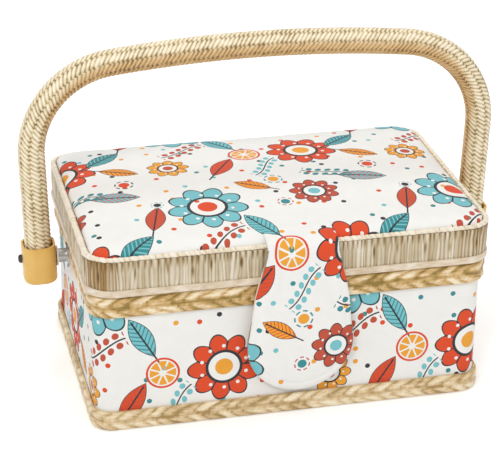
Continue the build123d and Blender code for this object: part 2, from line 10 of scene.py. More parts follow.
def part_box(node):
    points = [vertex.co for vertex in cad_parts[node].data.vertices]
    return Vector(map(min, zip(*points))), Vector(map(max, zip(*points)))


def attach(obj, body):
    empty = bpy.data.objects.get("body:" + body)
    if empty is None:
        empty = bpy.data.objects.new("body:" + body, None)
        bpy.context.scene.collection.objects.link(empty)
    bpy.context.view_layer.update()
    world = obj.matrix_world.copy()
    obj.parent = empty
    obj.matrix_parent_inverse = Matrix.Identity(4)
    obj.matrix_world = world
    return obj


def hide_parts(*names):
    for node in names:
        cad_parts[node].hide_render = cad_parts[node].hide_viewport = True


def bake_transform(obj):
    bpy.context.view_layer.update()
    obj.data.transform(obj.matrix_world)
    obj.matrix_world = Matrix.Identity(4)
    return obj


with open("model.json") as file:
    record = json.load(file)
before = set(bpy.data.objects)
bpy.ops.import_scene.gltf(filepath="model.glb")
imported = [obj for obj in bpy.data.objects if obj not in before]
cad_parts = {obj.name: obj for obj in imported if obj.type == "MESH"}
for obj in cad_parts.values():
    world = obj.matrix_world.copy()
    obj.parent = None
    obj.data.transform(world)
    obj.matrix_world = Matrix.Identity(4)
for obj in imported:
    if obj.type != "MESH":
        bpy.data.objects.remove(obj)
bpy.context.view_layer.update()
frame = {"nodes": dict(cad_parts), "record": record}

bl_info = {
    "name": "Cloth-covered sewing basket",
    "version": (1, 0, 0),
    "blender": (4, 5, 0),
    "location": "View3D > Sidebar > Basket",
    "description": "Dresses the basket's board, lid and fittings in printed cotton, braid, cord and satin",
    "category": "Object",
}

MAP = "cloth"

# Outlines of what runs round the box and the lid, in metres: width, depth and corner radius.
WALL = (0.231, 0.151, 0.011)
BRAID = (0.236, 0.156, 0.0135)
LINED = (0.2218, 0.1418, 0.0064)
BINDING = (0.240, 0.160, 0.017)
BAND = (0.2392, 0.1592, 0.0166)
PIPING = (0.2358, 0.1558, 0.0149)
PAD = (0.2312, 0.1512, 0.0126)
LID_INNER = (0.2270, 0.1470, 0.0100)

RIM_TOP = 0.0862
RIM_BOTTOM = 0.0733
FOOT_TOP = 0.0123
FOOT_BOTTOM = 0.0004
FLOOR_TOP = 0.0046
LID_BOTTOM = 0.0870
BINDING_TOP = 0.0914
BAND_TOP = 0.1072
PIPING_LEVEL = 0.1093
PIPING_RADIUS = 0.0021
PAD_EDGE = 0.1094
PAD_UNDER = 0.1048
PAD_SHOULDER = 0.1125
PAD_CROWN = 0.0058
BRAID_HALF = 0.00125
TAB_AXIS = (0.0035, -0.0836, 0.1093)
PIVOT = (0.13544, 0.008, 0.0741)
CORD_RADIUS = 0.00785
CORD_ROWS = 8

# How finely a pad is remeshed before it is blown up, how hard, and how many tucks the band shows.
PAD_VOXEL = 0.003
PAD_PRESSURE = 4.0
TUCKS = 44


def linear(code):
    """The four linear numbers of an sRGB hex colour."""
    channels = [int(code[i : i + 2], 16) / 255 for i in (0, 2, 4)]
    return tuple(c / 12.92 if c <= 0.04045 else ((c + 0.055) / 1.055) ** 2.4 for c in channels) + (1.0,)


# ---- what a user would change --------------------------------------------------------------------


def length(name, description, default):
    """A size in metres, shown in the sidebar."""
    return bpy.props.FloatProperty(
        name=name, description=description, default=default, min=0.0001, precision=4, subtype="DISTANCE", unit="LENGTH"
    )


def colour(name, description, code):
    """A colour, shown in the sidebar."""
    return bpy.props.FloatVectorProperty(
        name=name, description=description, default=linear(code), size=4, min=0.0, max=1.0, subtype="COLOR"
    )


class BasketSizes(bpy.types.PropertyGroup):
    """Sizes of the basket's cloth and trimmings."""

    print_width: length("Print width", "Width after which the print repeats", 0.150)
    print_height: length("Print height", "Height after which the print repeats", 0.120)
    pleat_pitch: length("Pleat pitch", "Mean distance between the band's pleats", 0.0022)
    pleat_depth: length("Pleat depth", "How far a pleat stands out of the band", 0.0010)
    piping_pitch: length("Piping pitch", "Mean distance between the puckers of the piping", 0.0035)
    plait_pitch: length("Plait pitch", "Distance between the strands of the braid", 0.0105)
    plait_relief: length("Plait relief", "Height of a strand of the braid", 0.0013)
    winding_pitch: length("Winding pitch", "Distance between the wraps of the handle's cord", 0.00275)
    winding_relief: length("Winding relief", "Height of a wrap of the handle's cord", 0.0008)
    pad_swell: length("Pad swell", "Most that the padded top swells", 0.0030)


class BasketColours(bpy.types.PropertyGroup):
    """Colours of the basket's cloth, cord and plastic."""

    cotton: colour("Cotton", "Ground of the printed cotton", "F4F3EF")
    orange_red: colour("Orange red", "First ink of the print", "E2502B")
    teal_blue: colour("Teal blue", "Second ink of the print", "7CC4CC")
    dark_teal: colour("Dark teal", "Third ink of the print", "3F8F93")
    mustard: colour("Mustard", "Fourth ink of the print", "F0A63A")
    brick: colour("Brick", "Fifth ink of the print", "C4553F")
    charcoal: colour("Charcoal", "Line ink of the print", "3A3A3E")
    satin: colour("Satin", "Lining of box and lid", "EBDCC0")
    # The dark and light colours of the lame, the braid and the cord are painted shade in their folds and painted
    # highlight on their crests.
    lame_dark: colour("Lame folds", "Bottom of the band's pleats", "988454")
    lame_light: colour("Lame crests", "Crests of the band's pleats", "F1EADC")
    piping: colour("Piping", "Ruched piping round the top", "F6EDDD")
    binding: colour("Binding", "Smooth binding under the band", "DECBB0")
    braid_dark: colour("Braid shade", "Between the strands of the rim braid", "8C7128")
    braid_mid: colour("Braid gold", "Strands of the rim braid", "CFA868")
    braid_light: colour("Braid light", "Crests of the rim braid", "F8E8C6")
    cord_dark: colour("Cord shade", "Between the wraps of the handle", "8C7442")
    cord_light: colour("Cord light", "Wraps of the handle", "FFF3DA")
    ferrule: colour("Ferrule", "Plastic cups at the handle's feet", "EBC06A")


# ---- shaping -------------------------------------------------------------------------------------


def loop_length(width, depth, corner):
    """How far it is round a rounded rectangle."""
    return 2 * (width - 2 * corner) + 2 * (depth - 2 * corner) + 2 * math.pi * corner


def round_loop(run, out, width, depth, corner):
    """Points run along a rounded rectangle, from the middle of the back towards the left, and out from it."""
    x_run, y_run, arc = width / 2 - corner, depth / 2 - corner, math.pi * corner / 2
    starts = np.concatenate([[0.0], np.cumsum([x_run, arc, 2 * y_run, arc, 2 * x_run, arc, 2 * y_run, arc, x_run])])
    run = np.clip(run, 0, starts[-1])
    part = np.clip(np.searchsorted(starts, run, side="right") - 1, 0, 8)
    ahead = run - starts[part]
    centre_x = np.array([0, -x_run, -x_run, -x_run, -x_run, x_run, x_run, x_run, x_run])[part]
    centre_y = np.array([y_run, y_run, y_run, -y_run, -y_run, -y_run, -y_run, y_run, y_run])[part]
    bend = part % 2 == 1
    angle = np.radians(np.array([90, 90, 180, 180, 270, 270, 360, 360, 450])[part]) + np.where(bend, ahead / corner, 0)
    along = np.where(bend, 0, ahead)
    x = centre_x + (corner + out) * np.cos(angle) - along * np.sin(angle)
    y = centre_y + (corner + out) * np.sin(angle) + along * np.cos(angle)
    return x, y


def near_corner(x, y, width, depth, corner, reach):
    """1 at the middle of a rounded corner, down to 0 at the reach from it."""
    middle = corner * (1 - math.sqrt(0.5))
    return np.clip(1 - np.hypot(np.abs(x) - width / 2 + middle, np.abs(y) - depth / 2 + middle) / reach, 0, 1)


def outline(shape):
    """The line once round a rounded rectangle, for u from 0 to 1."""
    total = loop_length(*shape)
    return lambda u: round_loop(u * total, 0.0, *shape)


def distances(line):
    """How far along a line each of its points is."""
    return np.concatenate([[0], np.cumsum(np.hypot(*np.diff(line, axis=0).T))])


def squared(value, power):
    """Draws a sine or cosine out, so that a circle comes nearer to a square."""
    return np.sign(value) * np.abs(value) ** power


def uneven(run, total, seed, lengths, drift=0.0):
    """Smooth unevenness from about -1 to 1 that closes on itself after total, the same on every run."""
    chance = np.random.default_rng(seed)
    waves = [
        np.sin(
            2 * np.pi * (run / total * round(total / each)) + chance.uniform(0, 6.28) + drift * chance.uniform(-1, 1)
        )
        for each in lengths
    ]
    return sum(waves) / len(lengths)


def gathers(run, total, pitch, seed, low=0.45, power=0.7):
    """Folds of uneven width along a gathered cloth: 0 between two folds, up to 1 on a crest."""
    chance = np.random.default_rng(seed)
    count = int(total / pitch)
    widths = chance.uniform(0.55, 1.45, count)
    edges = np.concatenate([[0.0], np.cumsum(widths)]) * total / widths.sum()
    heights = chance.uniform(low, 1.0, count)
    run = np.mod(run, total)
    fold = np.clip(np.searchsorted(edges, run, side="right") - 1, 0, count - 1)
    share = (run - edges[fold]) / (edges[fold + 1] - edges[fold])
    return heights[fold] * np.clip(np.sin(np.pi * share), 0, 1) ** power


def put(name, data):
    """A new object in the scene."""
    made = bpy.data.objects.new(name, data)
    bpy.context.scene.collection.objects.link(made)
    return made


def rework(mesh, change):
    """Runs change on a mesh, opened as a bmesh."""
    bm = bmesh.new()
    bm.from_mesh(mesh)
    change(bm)
    bm.to_mesh(mesh)
    bm.free()
    return mesh


def vertices(mesh):
    """The places of a mesh's vertices, one after another."""
    places = np.empty(len(mesh.vertices) * 3)
    mesh.vertices.foreach_get("co", places)
    return places


def lay_map(mesh, flat):
    """Gives a mesh the uv map of its cloth, from one u and one v for each vertex."""
    corners = np.empty(len(mesh.loops), dtype=np.int32)
    mesh.loops.foreach_get("vertex_index", corners)
    layer = mesh.uv_layers.get(MAP) or mesh.uv_layers.new(name=MAP)
    layer.data.foreach_set("uv", np.stack(flat, axis=1)[corners].ravel())


def grid_piece(name, along, across, place):
    """A grid of cloth. place(u, v) bends it, and gives x, y, z, its flat uv in metres, and what else to keep."""
    mesh = rework(
        bpy.data.meshes.new(name),
        lambda bm: bmesh.ops.create_grid(bm, x_segments=along, y_segments=across, size=0.5),
    )
    flat = vertices(mesh)
    made = place(flat[0::3] + 0.5, flat[1::3] + 0.5)
    for axis, values in enumerate(made["xyz"]):
        flat[axis::3] = values
    mesh.vertices.foreach_set("co", flat)
    lay_map(mesh, made["uv"])
    for key in ("fold", "shade"):
        if key in made:
            mesh.attributes.new(key, "FLOAT", "POINT").data.foreach_set("value", np.asarray(made[key], dtype=float))
    rework(mesh, lambda bm: bmesh.ops.remove_doubles(bm, verts=bm.verts, dist=2e-6))
    mesh.shade_smooth()
    return put(name, mesh)


def face_outwards(piece):
    """Turns the faces of a closed piece outwards."""
    rework(piece.data, lambda bm: bmesh.ops.recalc_face_normals(bm, faces=bm.faces))


def pillow(name, around, rings, edge, centre, top, bottom):
    """A closed pad inside the outline edge(u): top(x, y, k) above and bottom(x, y, k) below, k from middle to edge."""

    def place(u, v):
        k = np.where(v < 0.5, v * 2, (1 - v) * 2)
        k = 1 - (1 - k) ** 1.6
        edge_x, edge_y = edge(u)
        x, y = centre[0] + (edge_x - centre[0]) * k, centre[1] + (edge_y - centre[1]) * k
        z = np.where(v < 0.5, bottom(x, y, k), top(x, y, k))
        return {"xyz": (x, y, z), "uv": (x, y)}

    piece = grid_piece(name, around, rings * 2, place)
    face_outwards(piece)
    return piece


def thicken(piece, thickness, offset=-1.0):
    """Gives a sheet its thickness."""
    wall = piece.modifiers.new("Thickness", "SOLIDIFY")
    wall.thickness = thickness
    wall.offset = offset
    return piece


def smooth_out(piece, levels=1):
    """Rounds a piece by subdivision, the same in the view and the render."""
    finer = piece.modifiers.new("Subdivision", "SUBSURF")
    finer.levels = levels
    finer.render_levels = levels
    return piece


def swell(piece, cap, frames=20):
    """Blows a pad up as cloth, holds how far any point may move, and keeps the result as its mesh."""
    scene = bpy.context.scene
    shell = piece.modifiers.new("Remesh", "REMESH")
    shell.mode = "VOXEL"
    shell.voxel_size = PAD_VOXEL
    shell.use_smooth_shade = True
    graph = bpy.context.evaluated_depsgraph_get()
    mesh = bpy.data.meshes.new_from_object(piece.evaluated_get(graph))
    piece.modifiers.clear()
    blank = put("blank", mesh)
    start = vertices(mesh)
    cloth = blank.modifiers.new("Cloth", "CLOTH")
    cloth.settings.use_pressure = True
    cloth.settings.uniform_pressure_force = PAD_PRESSURE
    cloth.settings.effector_weights.gravity = 0
    cloth.settings.quality = 6
    cloth.point_cache.frame_start = 1
    cloth.point_cache.frame_end = frames
    for number in range(1, frames + 1):
        scene.frame_set(number)
    graph = bpy.context.evaluated_depsgraph_get()
    done = bpy.data.meshes.new_from_object(blank.evaluated_get(graph))
    move = (vertices(done) - start).reshape(-1, 3)
    far = np.linalg.norm(move, axis=1)
    move *= (cap * np.tanh(far / cap) / np.maximum(far, 1e-9))[:, None]
    mesh.vertices.foreach_set("co", start + move.ravel())
    scene.frame_set(1)
    bpy.data.objects.remove(blank)
    bpy.data.meshes.remove(done)
    piece.data = mesh
    piece.data.shade_smooth()
    smooth_out(piece)
    return piece


def lay_flat_map(piece, horizontal=0, vertical=1):
    """Gives a pad the uv map that its cloth had flat, seen along the third axis."""
    places = vertices(piece.data)
    lay_map(piece.data, [places[horizontal::3], places[vertical::3]])


def dress(piece, body, slot, material, *nodes):
    """Gives a piece its finish and its body, and hides the CAD nodes that it stands for."""
    piece.data.materials.clear()
    piece.data.materials.append(finish(material))
    if body:
        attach(piece, body)
    if nodes:
        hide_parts(*nodes)
    return piece


# ---- finishes ------------------------------------------------------------------------------------


def add(tree, kind, settings=None, inputs=None):
    """Adds a node with its settings, its input values and its links."""
    node = tree.nodes.new(kind if kind.startswith("Node") else "ShaderNode" + kind)
    for key, value in (settings or {}).items():
        setattr(node, key, value)
    pairs = enumerate(inputs) if isinstance(inputs, (list, tuple)) else (inputs or {}).items()
    for key, value in pairs:
        if value is None:
            continue
        if isinstance(value, bpy.types.Node):
            value = next(each for each in value.outputs if each.enabled)
        if isinstance(value, bpy.types.NodeSocket):
            tree.links.new(value, node.inputs[key])
        else:
            node.inputs[key].default_value = value
    return node


def start_material(name):
    """A new material with its shader and output."""
    material = bpy.data.materials.new(name)
    material.use_nodes = True
    tree = material.node_tree
    tree.nodes.clear()
    shader = add(tree, "BsdfPrincipled")
    add(tree, "OutputMaterial", {}, {"Surface": shader})
    return material, tree, shader


def cloth_point(tree):
    """A point of the cloth as it lay flat, in millimetres."""
    flat = add(tree, "UVMap", {"uv_map": MAP})
    return add(tree, "VectorMath", {"operation": "SCALE"}, {0: flat, "Scale": 1000.0})


def solid_point(tree):
    """A point of the piece itself, in millimetres."""
    place = add(tree, "TexCoord")
    return add(tree, "VectorMath", {"operation": "SCALE"}, {0: place.outputs["Object"], "Scale": 1000.0})


def surface(tree, shader, shown, height, strength, depth, values):
    """Gives a shader its colour, its fine relief and its plain values."""
    tree.links.new(shown, shader.inputs["Base Color"])
    bump = add(tree, "Bump", {}, {"Strength": strength, "Distance": depth, "Height": height})
    tree.links.new(bump.outputs[0], shader.inputs["Normal"])
    for key, value in values.items():
        shader.inputs[key].default_value = value


def colour_of(code):
    """A colour by its name in the sidebar, or by its hex code."""
    inks = bpy.context.scene.basket_colours
    return tuple(getattr(inks, code)) if hasattr(inks, code) else linear(code)


def stamp(name, draw):
    """A motif of the print as a node group. draw gives its layers: a mask and an ink each."""
    group = bpy.data.node_groups.new(name, "ShaderNodeTree")
    for label, kind in (
        ("Under", "NodeSocketColor"),
        ("Point", "NodeSocketVector"),
        ("Centre", "NodeSocketVector"),
        ("Repeat", "NodeSocketVector"),
        ("Turn", "NodeSocketFloat"),
        ("Size", "NodeSocketFloat"),
        ("Ink", "NodeSocketColor"),
        ("Second", "NodeSocketColor"),
        ("Line", "NodeSocketColor"),
    ):
        group.interface.new_socket(label, in_out="INPUT", socket_type=kind)
    group.interface.new_socket("Colour", in_out="OUTPUT", socket_type="NodeSocketColor")
    given = add(group, "NodeGroupInput").outputs
    away = add(group, "VectorMath", {"operation": "SUBTRACT"}, [given["Point"], given["Centre"]])
    half = add(group, "VectorMath", {"operation": "MULTIPLY"}, [given["Repeat"], (0.5, 0.5, 0.5)])
    minus = add(group, "VectorMath", {"operation": "MULTIPLY"}, [given["Repeat"], (-0.5, -0.5, -0.5)])
    near = add(group, "VectorMath", {"operation": "WRAP"}, [away, half, minus])
    turned = add(group, "VectorRotate", {"rotation_type": "Z_AXIS"}, {"Vector": near, "Angle": given["Turn"]})
    unit = add(group, "VectorMath", {"operation": "DIVIDE"}, [turned, given["Size"]])
    split = add(group, "SeparateXYZ", {}, [unit])
    radius = add(group, "VectorMath", {"operation": "LENGTH"}, [unit]).outputs["Value"]
    ink = given["Under"]
    for mask, paint in draw(group, split.outputs[0], split.outputs[1], radius, given):
        layer = add(group, "Mix", {"data_type": "RGBA"}, {0: mask, 6: ink, 7: paint})
        ink = layer.outputs[2]
    add(group, "NodeGroupOutput", {}, [ink])
    return group


def draw_flower(tree, x, y, radius, given):
    """A round flower with scalloped petals, a ring of dots and a heart."""
    angle = add(tree, "Math", {"operation": "ARCTAN2"}, [y, x])
    turn = add(tree, "Math", {"operation": "MULTIPLY"}, [angle, 4.5])
    wave = add(tree, "Math", {"operation": "ABSOLUTE"}, [add(tree, "Math", {"operation": "COSINE"}, [turn])])
    edge = add(tree, "Math", {"operation": "MULTIPLY_ADD"}, [wave, 0.24, 0.76])
    petal = add(tree, "Math", {"operation": "LESS_THAN"}, [radius, edge])
    inside = add(tree, "Math", {"operation": "SUBTRACT"}, [edge, 0.045])
    fill = add(tree, "Math", {"operation": "LESS_THAN"}, [radius, inside])
    between = add(tree, "Math", {"operation": "LESS_THAN"}, [wave, 0.16])
    vein = add(tree, "Math", {"operation": "MULTIPLY"}, [between, fill])
    ring = add(tree, "Math", {"operation": "LESS_THAN"}, [radius, 0.5])
    cream = add(tree, "Math", {"operation": "LESS_THAN"}, [radius, 0.42])
    step = add(tree, "Math", {"operation": "WRAP"}, [angle, math.pi / 10, -math.pi / 10])
    side = add(tree, "Math", {"operation": "MULTIPLY"}, [step, 0.62])
    off = add(tree, "Math", {"operation": "SUBTRACT"}, [radius, 0.62])
    spot = add(tree, "VectorMath", {"operation": "LENGTH"}, [add(tree, "CombineXYZ", {}, [side, off])])
    dot = add(tree, "Math", {"operation": "LESS_THAN"}, [spot.outputs["Value"], 0.05])
    heart = add(tree, "Math", {"operation": "LESS_THAN"}, [radius, 0.24])
    return (
        (petal, given["Line"]),
        (fill, given["Ink"]),
        (vein, given["Line"]),
        (ring, given["Line"]),
        (cream, given["Under"]),
        (dot, given["Under"]),
        (heart, given["Second"]),
    )


def draw_leaf(tree, x, y, radius, given):
    """A pointed leaf with a midrib, a stalk and slanting veins."""
    square = add(tree, "Math", {"operation": "MULTIPLY"}, [x, x])
    bow = add(tree, "Math", {"operation": "SUBTRACT"}, [1.0, square])
    room = add(tree, "Math", {"operation": "MAXIMUM"}, [bow, 0.0])
    half = add(tree, "Math", {"operation": "MULTIPLY"}, [room, 0.42])
    height = add(tree, "Math", {"operation": "ABSOLUTE"}, [y])
    blade = add(tree, "Math", {"operation": "LESS_THAN"}, [height, half])
    inner = add(tree, "Math", {"operation": "SUBTRACT"}, [half, 0.03])
    fill = add(tree, "Math", {"operation": "LESS_THAN"}, [height, inner])
    slant = add(tree, "Math", {"operation": "MULTIPLY_ADD"}, [height, -0.9, x])
    beat = add(tree, "Math", {"operation": "FRACT"}, [add(tree, "Math", {"operation": "MULTIPLY"}, [slant, 4.5])])
    stripe = add(tree, "Math", {"operation": "LESS_THAN"}, [beat, 0.3])
    vein = add(tree, "Math", {"operation": "MULTIPLY"}, [stripe, fill])
    thin = add(tree, "Math", {"operation": "LESS_THAN"}, [height, 0.035])
    reach = add(tree, "Math", {"operation": "COMPARE"}, [x, -0.28, 1.12])
    rib = add(tree, "Math", {"operation": "MULTIPLY"}, [thin, reach])
    return (blade, given["Line"]), (fill, given["Ink"]), (vein, given["Second"]), (rib, given["Line"])


def draw_slice(tree, x, y, radius, given):
    """A round slice with a rind and eight wedges."""
    angle = add(tree, "Math", {"operation": "ARCTAN2"}, [y, x])
    step = add(tree, "Math", {"operation": "WRAP"}, [angle, math.pi / 8, -math.pi / 8])
    size = add(tree, "Math", {"operation": "ABSOLUTE"}, [step])
    left = add(tree, "Math", {"operation": "SUBTRACT"}, [math.pi / 8, size])
    gap = add(tree, "Math", {"operation": "MULTIPLY"}, [left, radius])
    wedge = add(tree, "Math", {"operation": "GREATER_THAN"}, [gap, 0.05])
    core = add(tree, "Math", {"operation": "COMPARE"}, [radius, 0.5, 0.28])
    flesh = add(tree, "Math", {"operation": "MULTIPLY"}, [wedge, core])
    whole = add(tree, "Math", {"operation": "LESS_THAN"}, [radius, 1.0])
    pith = add(tree, "Math", {"operation": "LESS_THAN"}, [radius, 0.87])
    return (whole, given["Ink"]), (pith, given["Under"]), (flesh, given["Second"])


def draw_sprig(tree, x, y, radius, given):
    """A curved twig with a berry on either side at every step."""
    sway = add(tree, "Math", {"operation": "SINE"}, [add(tree, "Math", {"operation": "MULTIPLY"}, [x, 2.2])])
    bent = add(tree, "Math", {"operation": "MULTIPLY_ADD"}, [sway, -0.18, y])
    height = add(tree, "Math", {"operation": "ABSOLUTE"}, [bent])
    thin = add(tree, "Math", {"operation": "LESS_THAN"}, [height, 0.028])
    reach = add(tree, "Math", {"operation": "COMPARE"}, [x, 0.0, 0.95])
    twig = add(tree, "Math", {"operation": "MULTIPLY"}, [thin, reach])
    step = add(tree, "Math", {"operation": "WRAP"}, [x, 0.17, -0.17])
    up = add(tree, "Math", {"operation": "SUBTRACT"}, [height, 0.19])
    spot = add(tree, "VectorMath", {"operation": "LENGTH"}, [add(tree, "CombineXYZ", {}, [step, up])])
    round_ = add(tree, "Math", {"operation": "LESS_THAN"}, [spot.outputs["Value"], 0.115])
    berry = add(tree, "Math", {"operation": "MULTIPLY"}, [round_, reach])
    return (twig, given["Line"]), (berry, given["Ink"])


def draw_ring(tree, x, y, radius, given):
    """A bud: a spot inside a broken ring."""
    spot = add(tree, "Math", {"operation": "LESS_THAN"}, [radius, 0.55])
    band = add(tree, "Math", {"operation": "COMPARE"}, [radius, 0.88, 0.08])
    angle = add(tree, "Math", {"operation": "ARCTAN2"}, [y, x])
    beat = add(tree, "Math", {"operation": "SINE"}, [add(tree, "Math", {"operation": "MULTIPLY"}, [angle, 7.0])])
    dash = add(tree, "Math", {"operation": "GREATER_THAN"}, [beat, -0.35])
    broken = add(tree, "Math", {"operation": "MULTIPLY"}, [band, dash])
    return (spot, given["Ink"]), (broken, given["Second"])


# Where each motif stands in the repeat, in millimetres, with its turn, size and two inks.
MOTIFS = (
    ("flower", 32, 34, 0.3, 22, "orange_red", "mustard"),
    ("flower", 108, 84, 0.9, 24, "teal_blue", "orange_red"),
    ("flower", 96, 22, 0.0, 13, "mustard", "brick"),
    ("flower", 24, 92, 0.5, 15, "brick", "teal_blue"),
    ("leaf", 60, 48, -0.7, 15, "dark_teal", "teal_blue"),
    ("leaf", 66, 24, 0.5, 13, "mustard", "brick"),
    ("leaf", 134, 58, -2.1, 15, "teal_blue", "dark_teal"),
    ("leaf", 76, 76, -1.3, 14, "brick", "orange_red"),
    ("leaf", 128, 16, -1.0, 15, "orange_red", "brick"),
    ("leaf", 58, 108, 0.2, 15, "teal_blue", "orange_red"),
    ("leaf", 140, 106, -2.6, 12, "mustard", "orange_red"),
    ("slice", 146, 34, 0.0, 10, "orange_red", "mustard"),
    ("sprig", 110, 50, -0.4, 18, "brick", "brick"),
    ("sprig", 38, 116, 0.5, 16, "dark_teal", "brick"),
    ("sprig", 4, 12, -0.8, 16, "teal_blue", "brick"),
    ("ring", 66, 4, 0.0, 6, "orange_red", "charcoal"),
    ("ring", 4, 112, 0.6, 6, "mustard", "dark_teal"),
    ("ring", 4, 82, 0.4, 5, "dark_teal", "brick"),
    ("ring", 80, 92, 0.4, 4, "charcoal", "teal_blue"),
)


def printed_cotton():
    """Plain-woven cotton with a screen print of flowers, leaves and slices: matt, a little hairy, flat inks."""
    sizes = bpy.context.scene.basket_sizes
    material, tree, shader = start_material("printed_cotton")
    point = cloth_point(tree)
    repeat = (sizes.print_width * 1000, sizes.print_height * 1000, 1000.0)
    stamps = {
        "flower": stamp("print_flower", draw_flower),
        "leaf": stamp("print_leaf", draw_leaf),
        "slice": stamp("print_slice", draw_slice),
        "sprig": stamp("print_sprig", draw_sprig),
        "ring": stamp("print_bud", draw_ring),
    }
    # Specks of ink between the motifs, one to a cell of 18 mm.
    cells = add(tree, "TexVoronoi", {"voronoi_dimensions": "2D"}, {"Vector": point, "Scale": 0.055, "Randomness": 0.9})
    speck = add(tree, "Math", {"operation": "LESS_THAN"}, [cells.outputs["Distance"], 0.085])
    pick = add(tree, "SeparateColor", {}, [cells.outputs["Color"]])
    choice = add(tree, "ValToRGB", {}, [pick.outputs[0]])
    choice.color_ramp.interpolation = "CONSTANT"
    names = ("charcoal", "teal_blue", "orange_red", "mustard", "dark_teal")
    while len(choice.color_ramp.elements) < len(names):
        choice.color_ramp.elements.new(0.5)
    for number, (element, ink) in enumerate(zip(choice.color_ramp.elements, names)):
        element.position = number / len(names)
        element.color = colour_of(ink)
    print_ = add(tree, "Mix", {"data_type": "RGBA"}, {0: speck, 6: colour_of("cotton"), 7: choice}).outputs[2]
    for kind, x, y, turn, size, ink, second in MOTIFS:
        values = {
            "Under": print_,
            "Point": point,
            "Centre": (x, y, 0.0),
            "Repeat": repeat,
            "Turn": turn,
            "Size": float(size),
            "Ink": colour_of(ink),
            "Second": colour_of(second),
            "Line": colour_of("charcoal"),
        }
        print_ = add(tree, "Group", {"node_tree": stamps[kind]}, values).outputs[0]
    # Threads stand 0.35 mm apart on such cotton; they are drawn 0.8 mm apart so that they show.
    warp = add(tree, "TexWave", {"bands_direction": "X"}, {"Vector": point, "Scale": 0.4, "Distortion": 0.3})
    weft = add(tree, "TexWave", {"bands_direction": "Y"}, {"Vector": point, "Scale": 0.4, "Distortion": 0.3})
    weave = add(tree, "Math", {"operation": "MULTIPLY"}, [warp, weft])
    slub = add(tree, "TexNoise", {}, {"Vector": point, "Scale": 0.12, "Detail": 3.0})
    worn = add(tree, "MapRange", {}, {"Value": slub, 3: 0.95, 4: 1.02})
    shown = add(tree, "Mix", {"data_type": "RGBA", "blend_type": "MULTIPLY"}, {0: 1.0, 6: print_, 7: worn})
    plain = {"Roughness": 0.86, "IOR": 1.5, "Specular IOR Level": 0.3, "Sheen Weight": 0.08}
    surface(tree, shader, shown.outputs[2], weave, 0.35, 0.00012, plain)
    return material


def folded_cloth(name, dark, middle, light, roughness, sheen, streak=(8.0, 0.25), metallic=0.0, tint=None, vary=0.28):
    """A lustrous cloth: painted shade makes it darker in its folds and painted highlight lighter on its crests;
    streaked by its threads, tinted where it is shaded.
    """
    material, tree, shader = start_material(name)
    point = cloth_point(tree)
    fold = add(tree, "Attribute", {"attribute_name": "fold"})
    stretched = add(tree, "VectorMath", {"operation": "MULTIPLY"}, [point, (streak[0] * 0.1, streak[1] * 0.1, 1.0)])
    threads = add(tree, "TexNoise", {}, {"Vector": stretched, "Scale": 1.0, "Detail": 4.0, "Roughness": 0.6})
    patch = add(tree, "TexNoise", {}, {"Vector": point, "Scale": 0.05, "Detail": 2.0})
    shift = add(tree, "MapRange", {}, {"Value": threads, 1: 0.3, 2: 0.7, 3: -vary, 4: vary})
    drift = add(tree, "MapRange", {}, {"Value": patch, 1: 0.3, 2: 0.7, 3: -0.12, 4: 0.12})
    both = add(tree, "Math", {"operation": "ADD"}, [shift, drift])
    level = add(tree, "Math", {"operation": "ADD", "use_clamp": True}, [fold.outputs["Fac"], both])
    ramp = add(tree, "ValToRGB", {}, [level])
    ramp.color_ramp.elements[0].position = 0.05
    ramp.color_ramp.elements[0].color = colour_of(dark)
    ramp.color_ramp.elements[1].position = 0.95
    ramp.color_ramp.elements[1].color = colour_of(light)
    ramp.color_ramp.elements.new(0.45).color = colour_of(middle)
    shown = ramp.outputs[0]
    if tint:
        shade = add(tree, "Attribute", {"attribute_name": "shade"})
        inputs = {0: shade.outputs["Fac"], 6: shown, 7: colour_of(tint)}
        shown = add(tree, "Mix", {"data_type": "RGBA", "blend_type": "MULTIPLY"}, inputs).outputs[2]
    plain = {"Roughness": roughness, "Metallic": metallic, "Sheen Weight": sheen, "IOR": 1.5}
    surface(tree, shader, shown, threads, 0.4, 0.0002, plain)
    return material


def moulded(name, base, other, roughness, grain=0.6, metallic=0.0, coat=0.0, depth=0.00004):
    """A hard part: moulded plastic, plated steel or board, with its own grain and colour drift."""
    material, tree, shader = start_material(name)
    point = solid_point(tree)
    cloudy = add(tree, "TexNoise", {}, {"Vector": point, "Scale": 0.06, "Detail": 3.0})
    blend = add(tree, "MapRange", {}, {"Value": cloudy, 1: 0.3, 2: 0.7})
    shown = add(tree, "Mix", {"data_type": "RGBA"}, {0: blend, 6: colour_of(base), 7: colour_of(other)})
    fine = add(tree, "TexNoise", {}, {"Vector": point, "Scale": grain, "Detail": 4.0, "Roughness": 0.6})
    rough = add(tree, "MapRange", {}, {"Value": fine, 3: max(roughness - 0.06, 0.05), 4: roughness + 0.08})
    tree.links.new(rough.outputs[0], shader.inputs["Roughness"])
    plain = {"Metallic": metallic, "Coat Weight": coat}
    surface(tree, shader, shown.outputs[2], fine, 0.3, depth, plain)
    return material
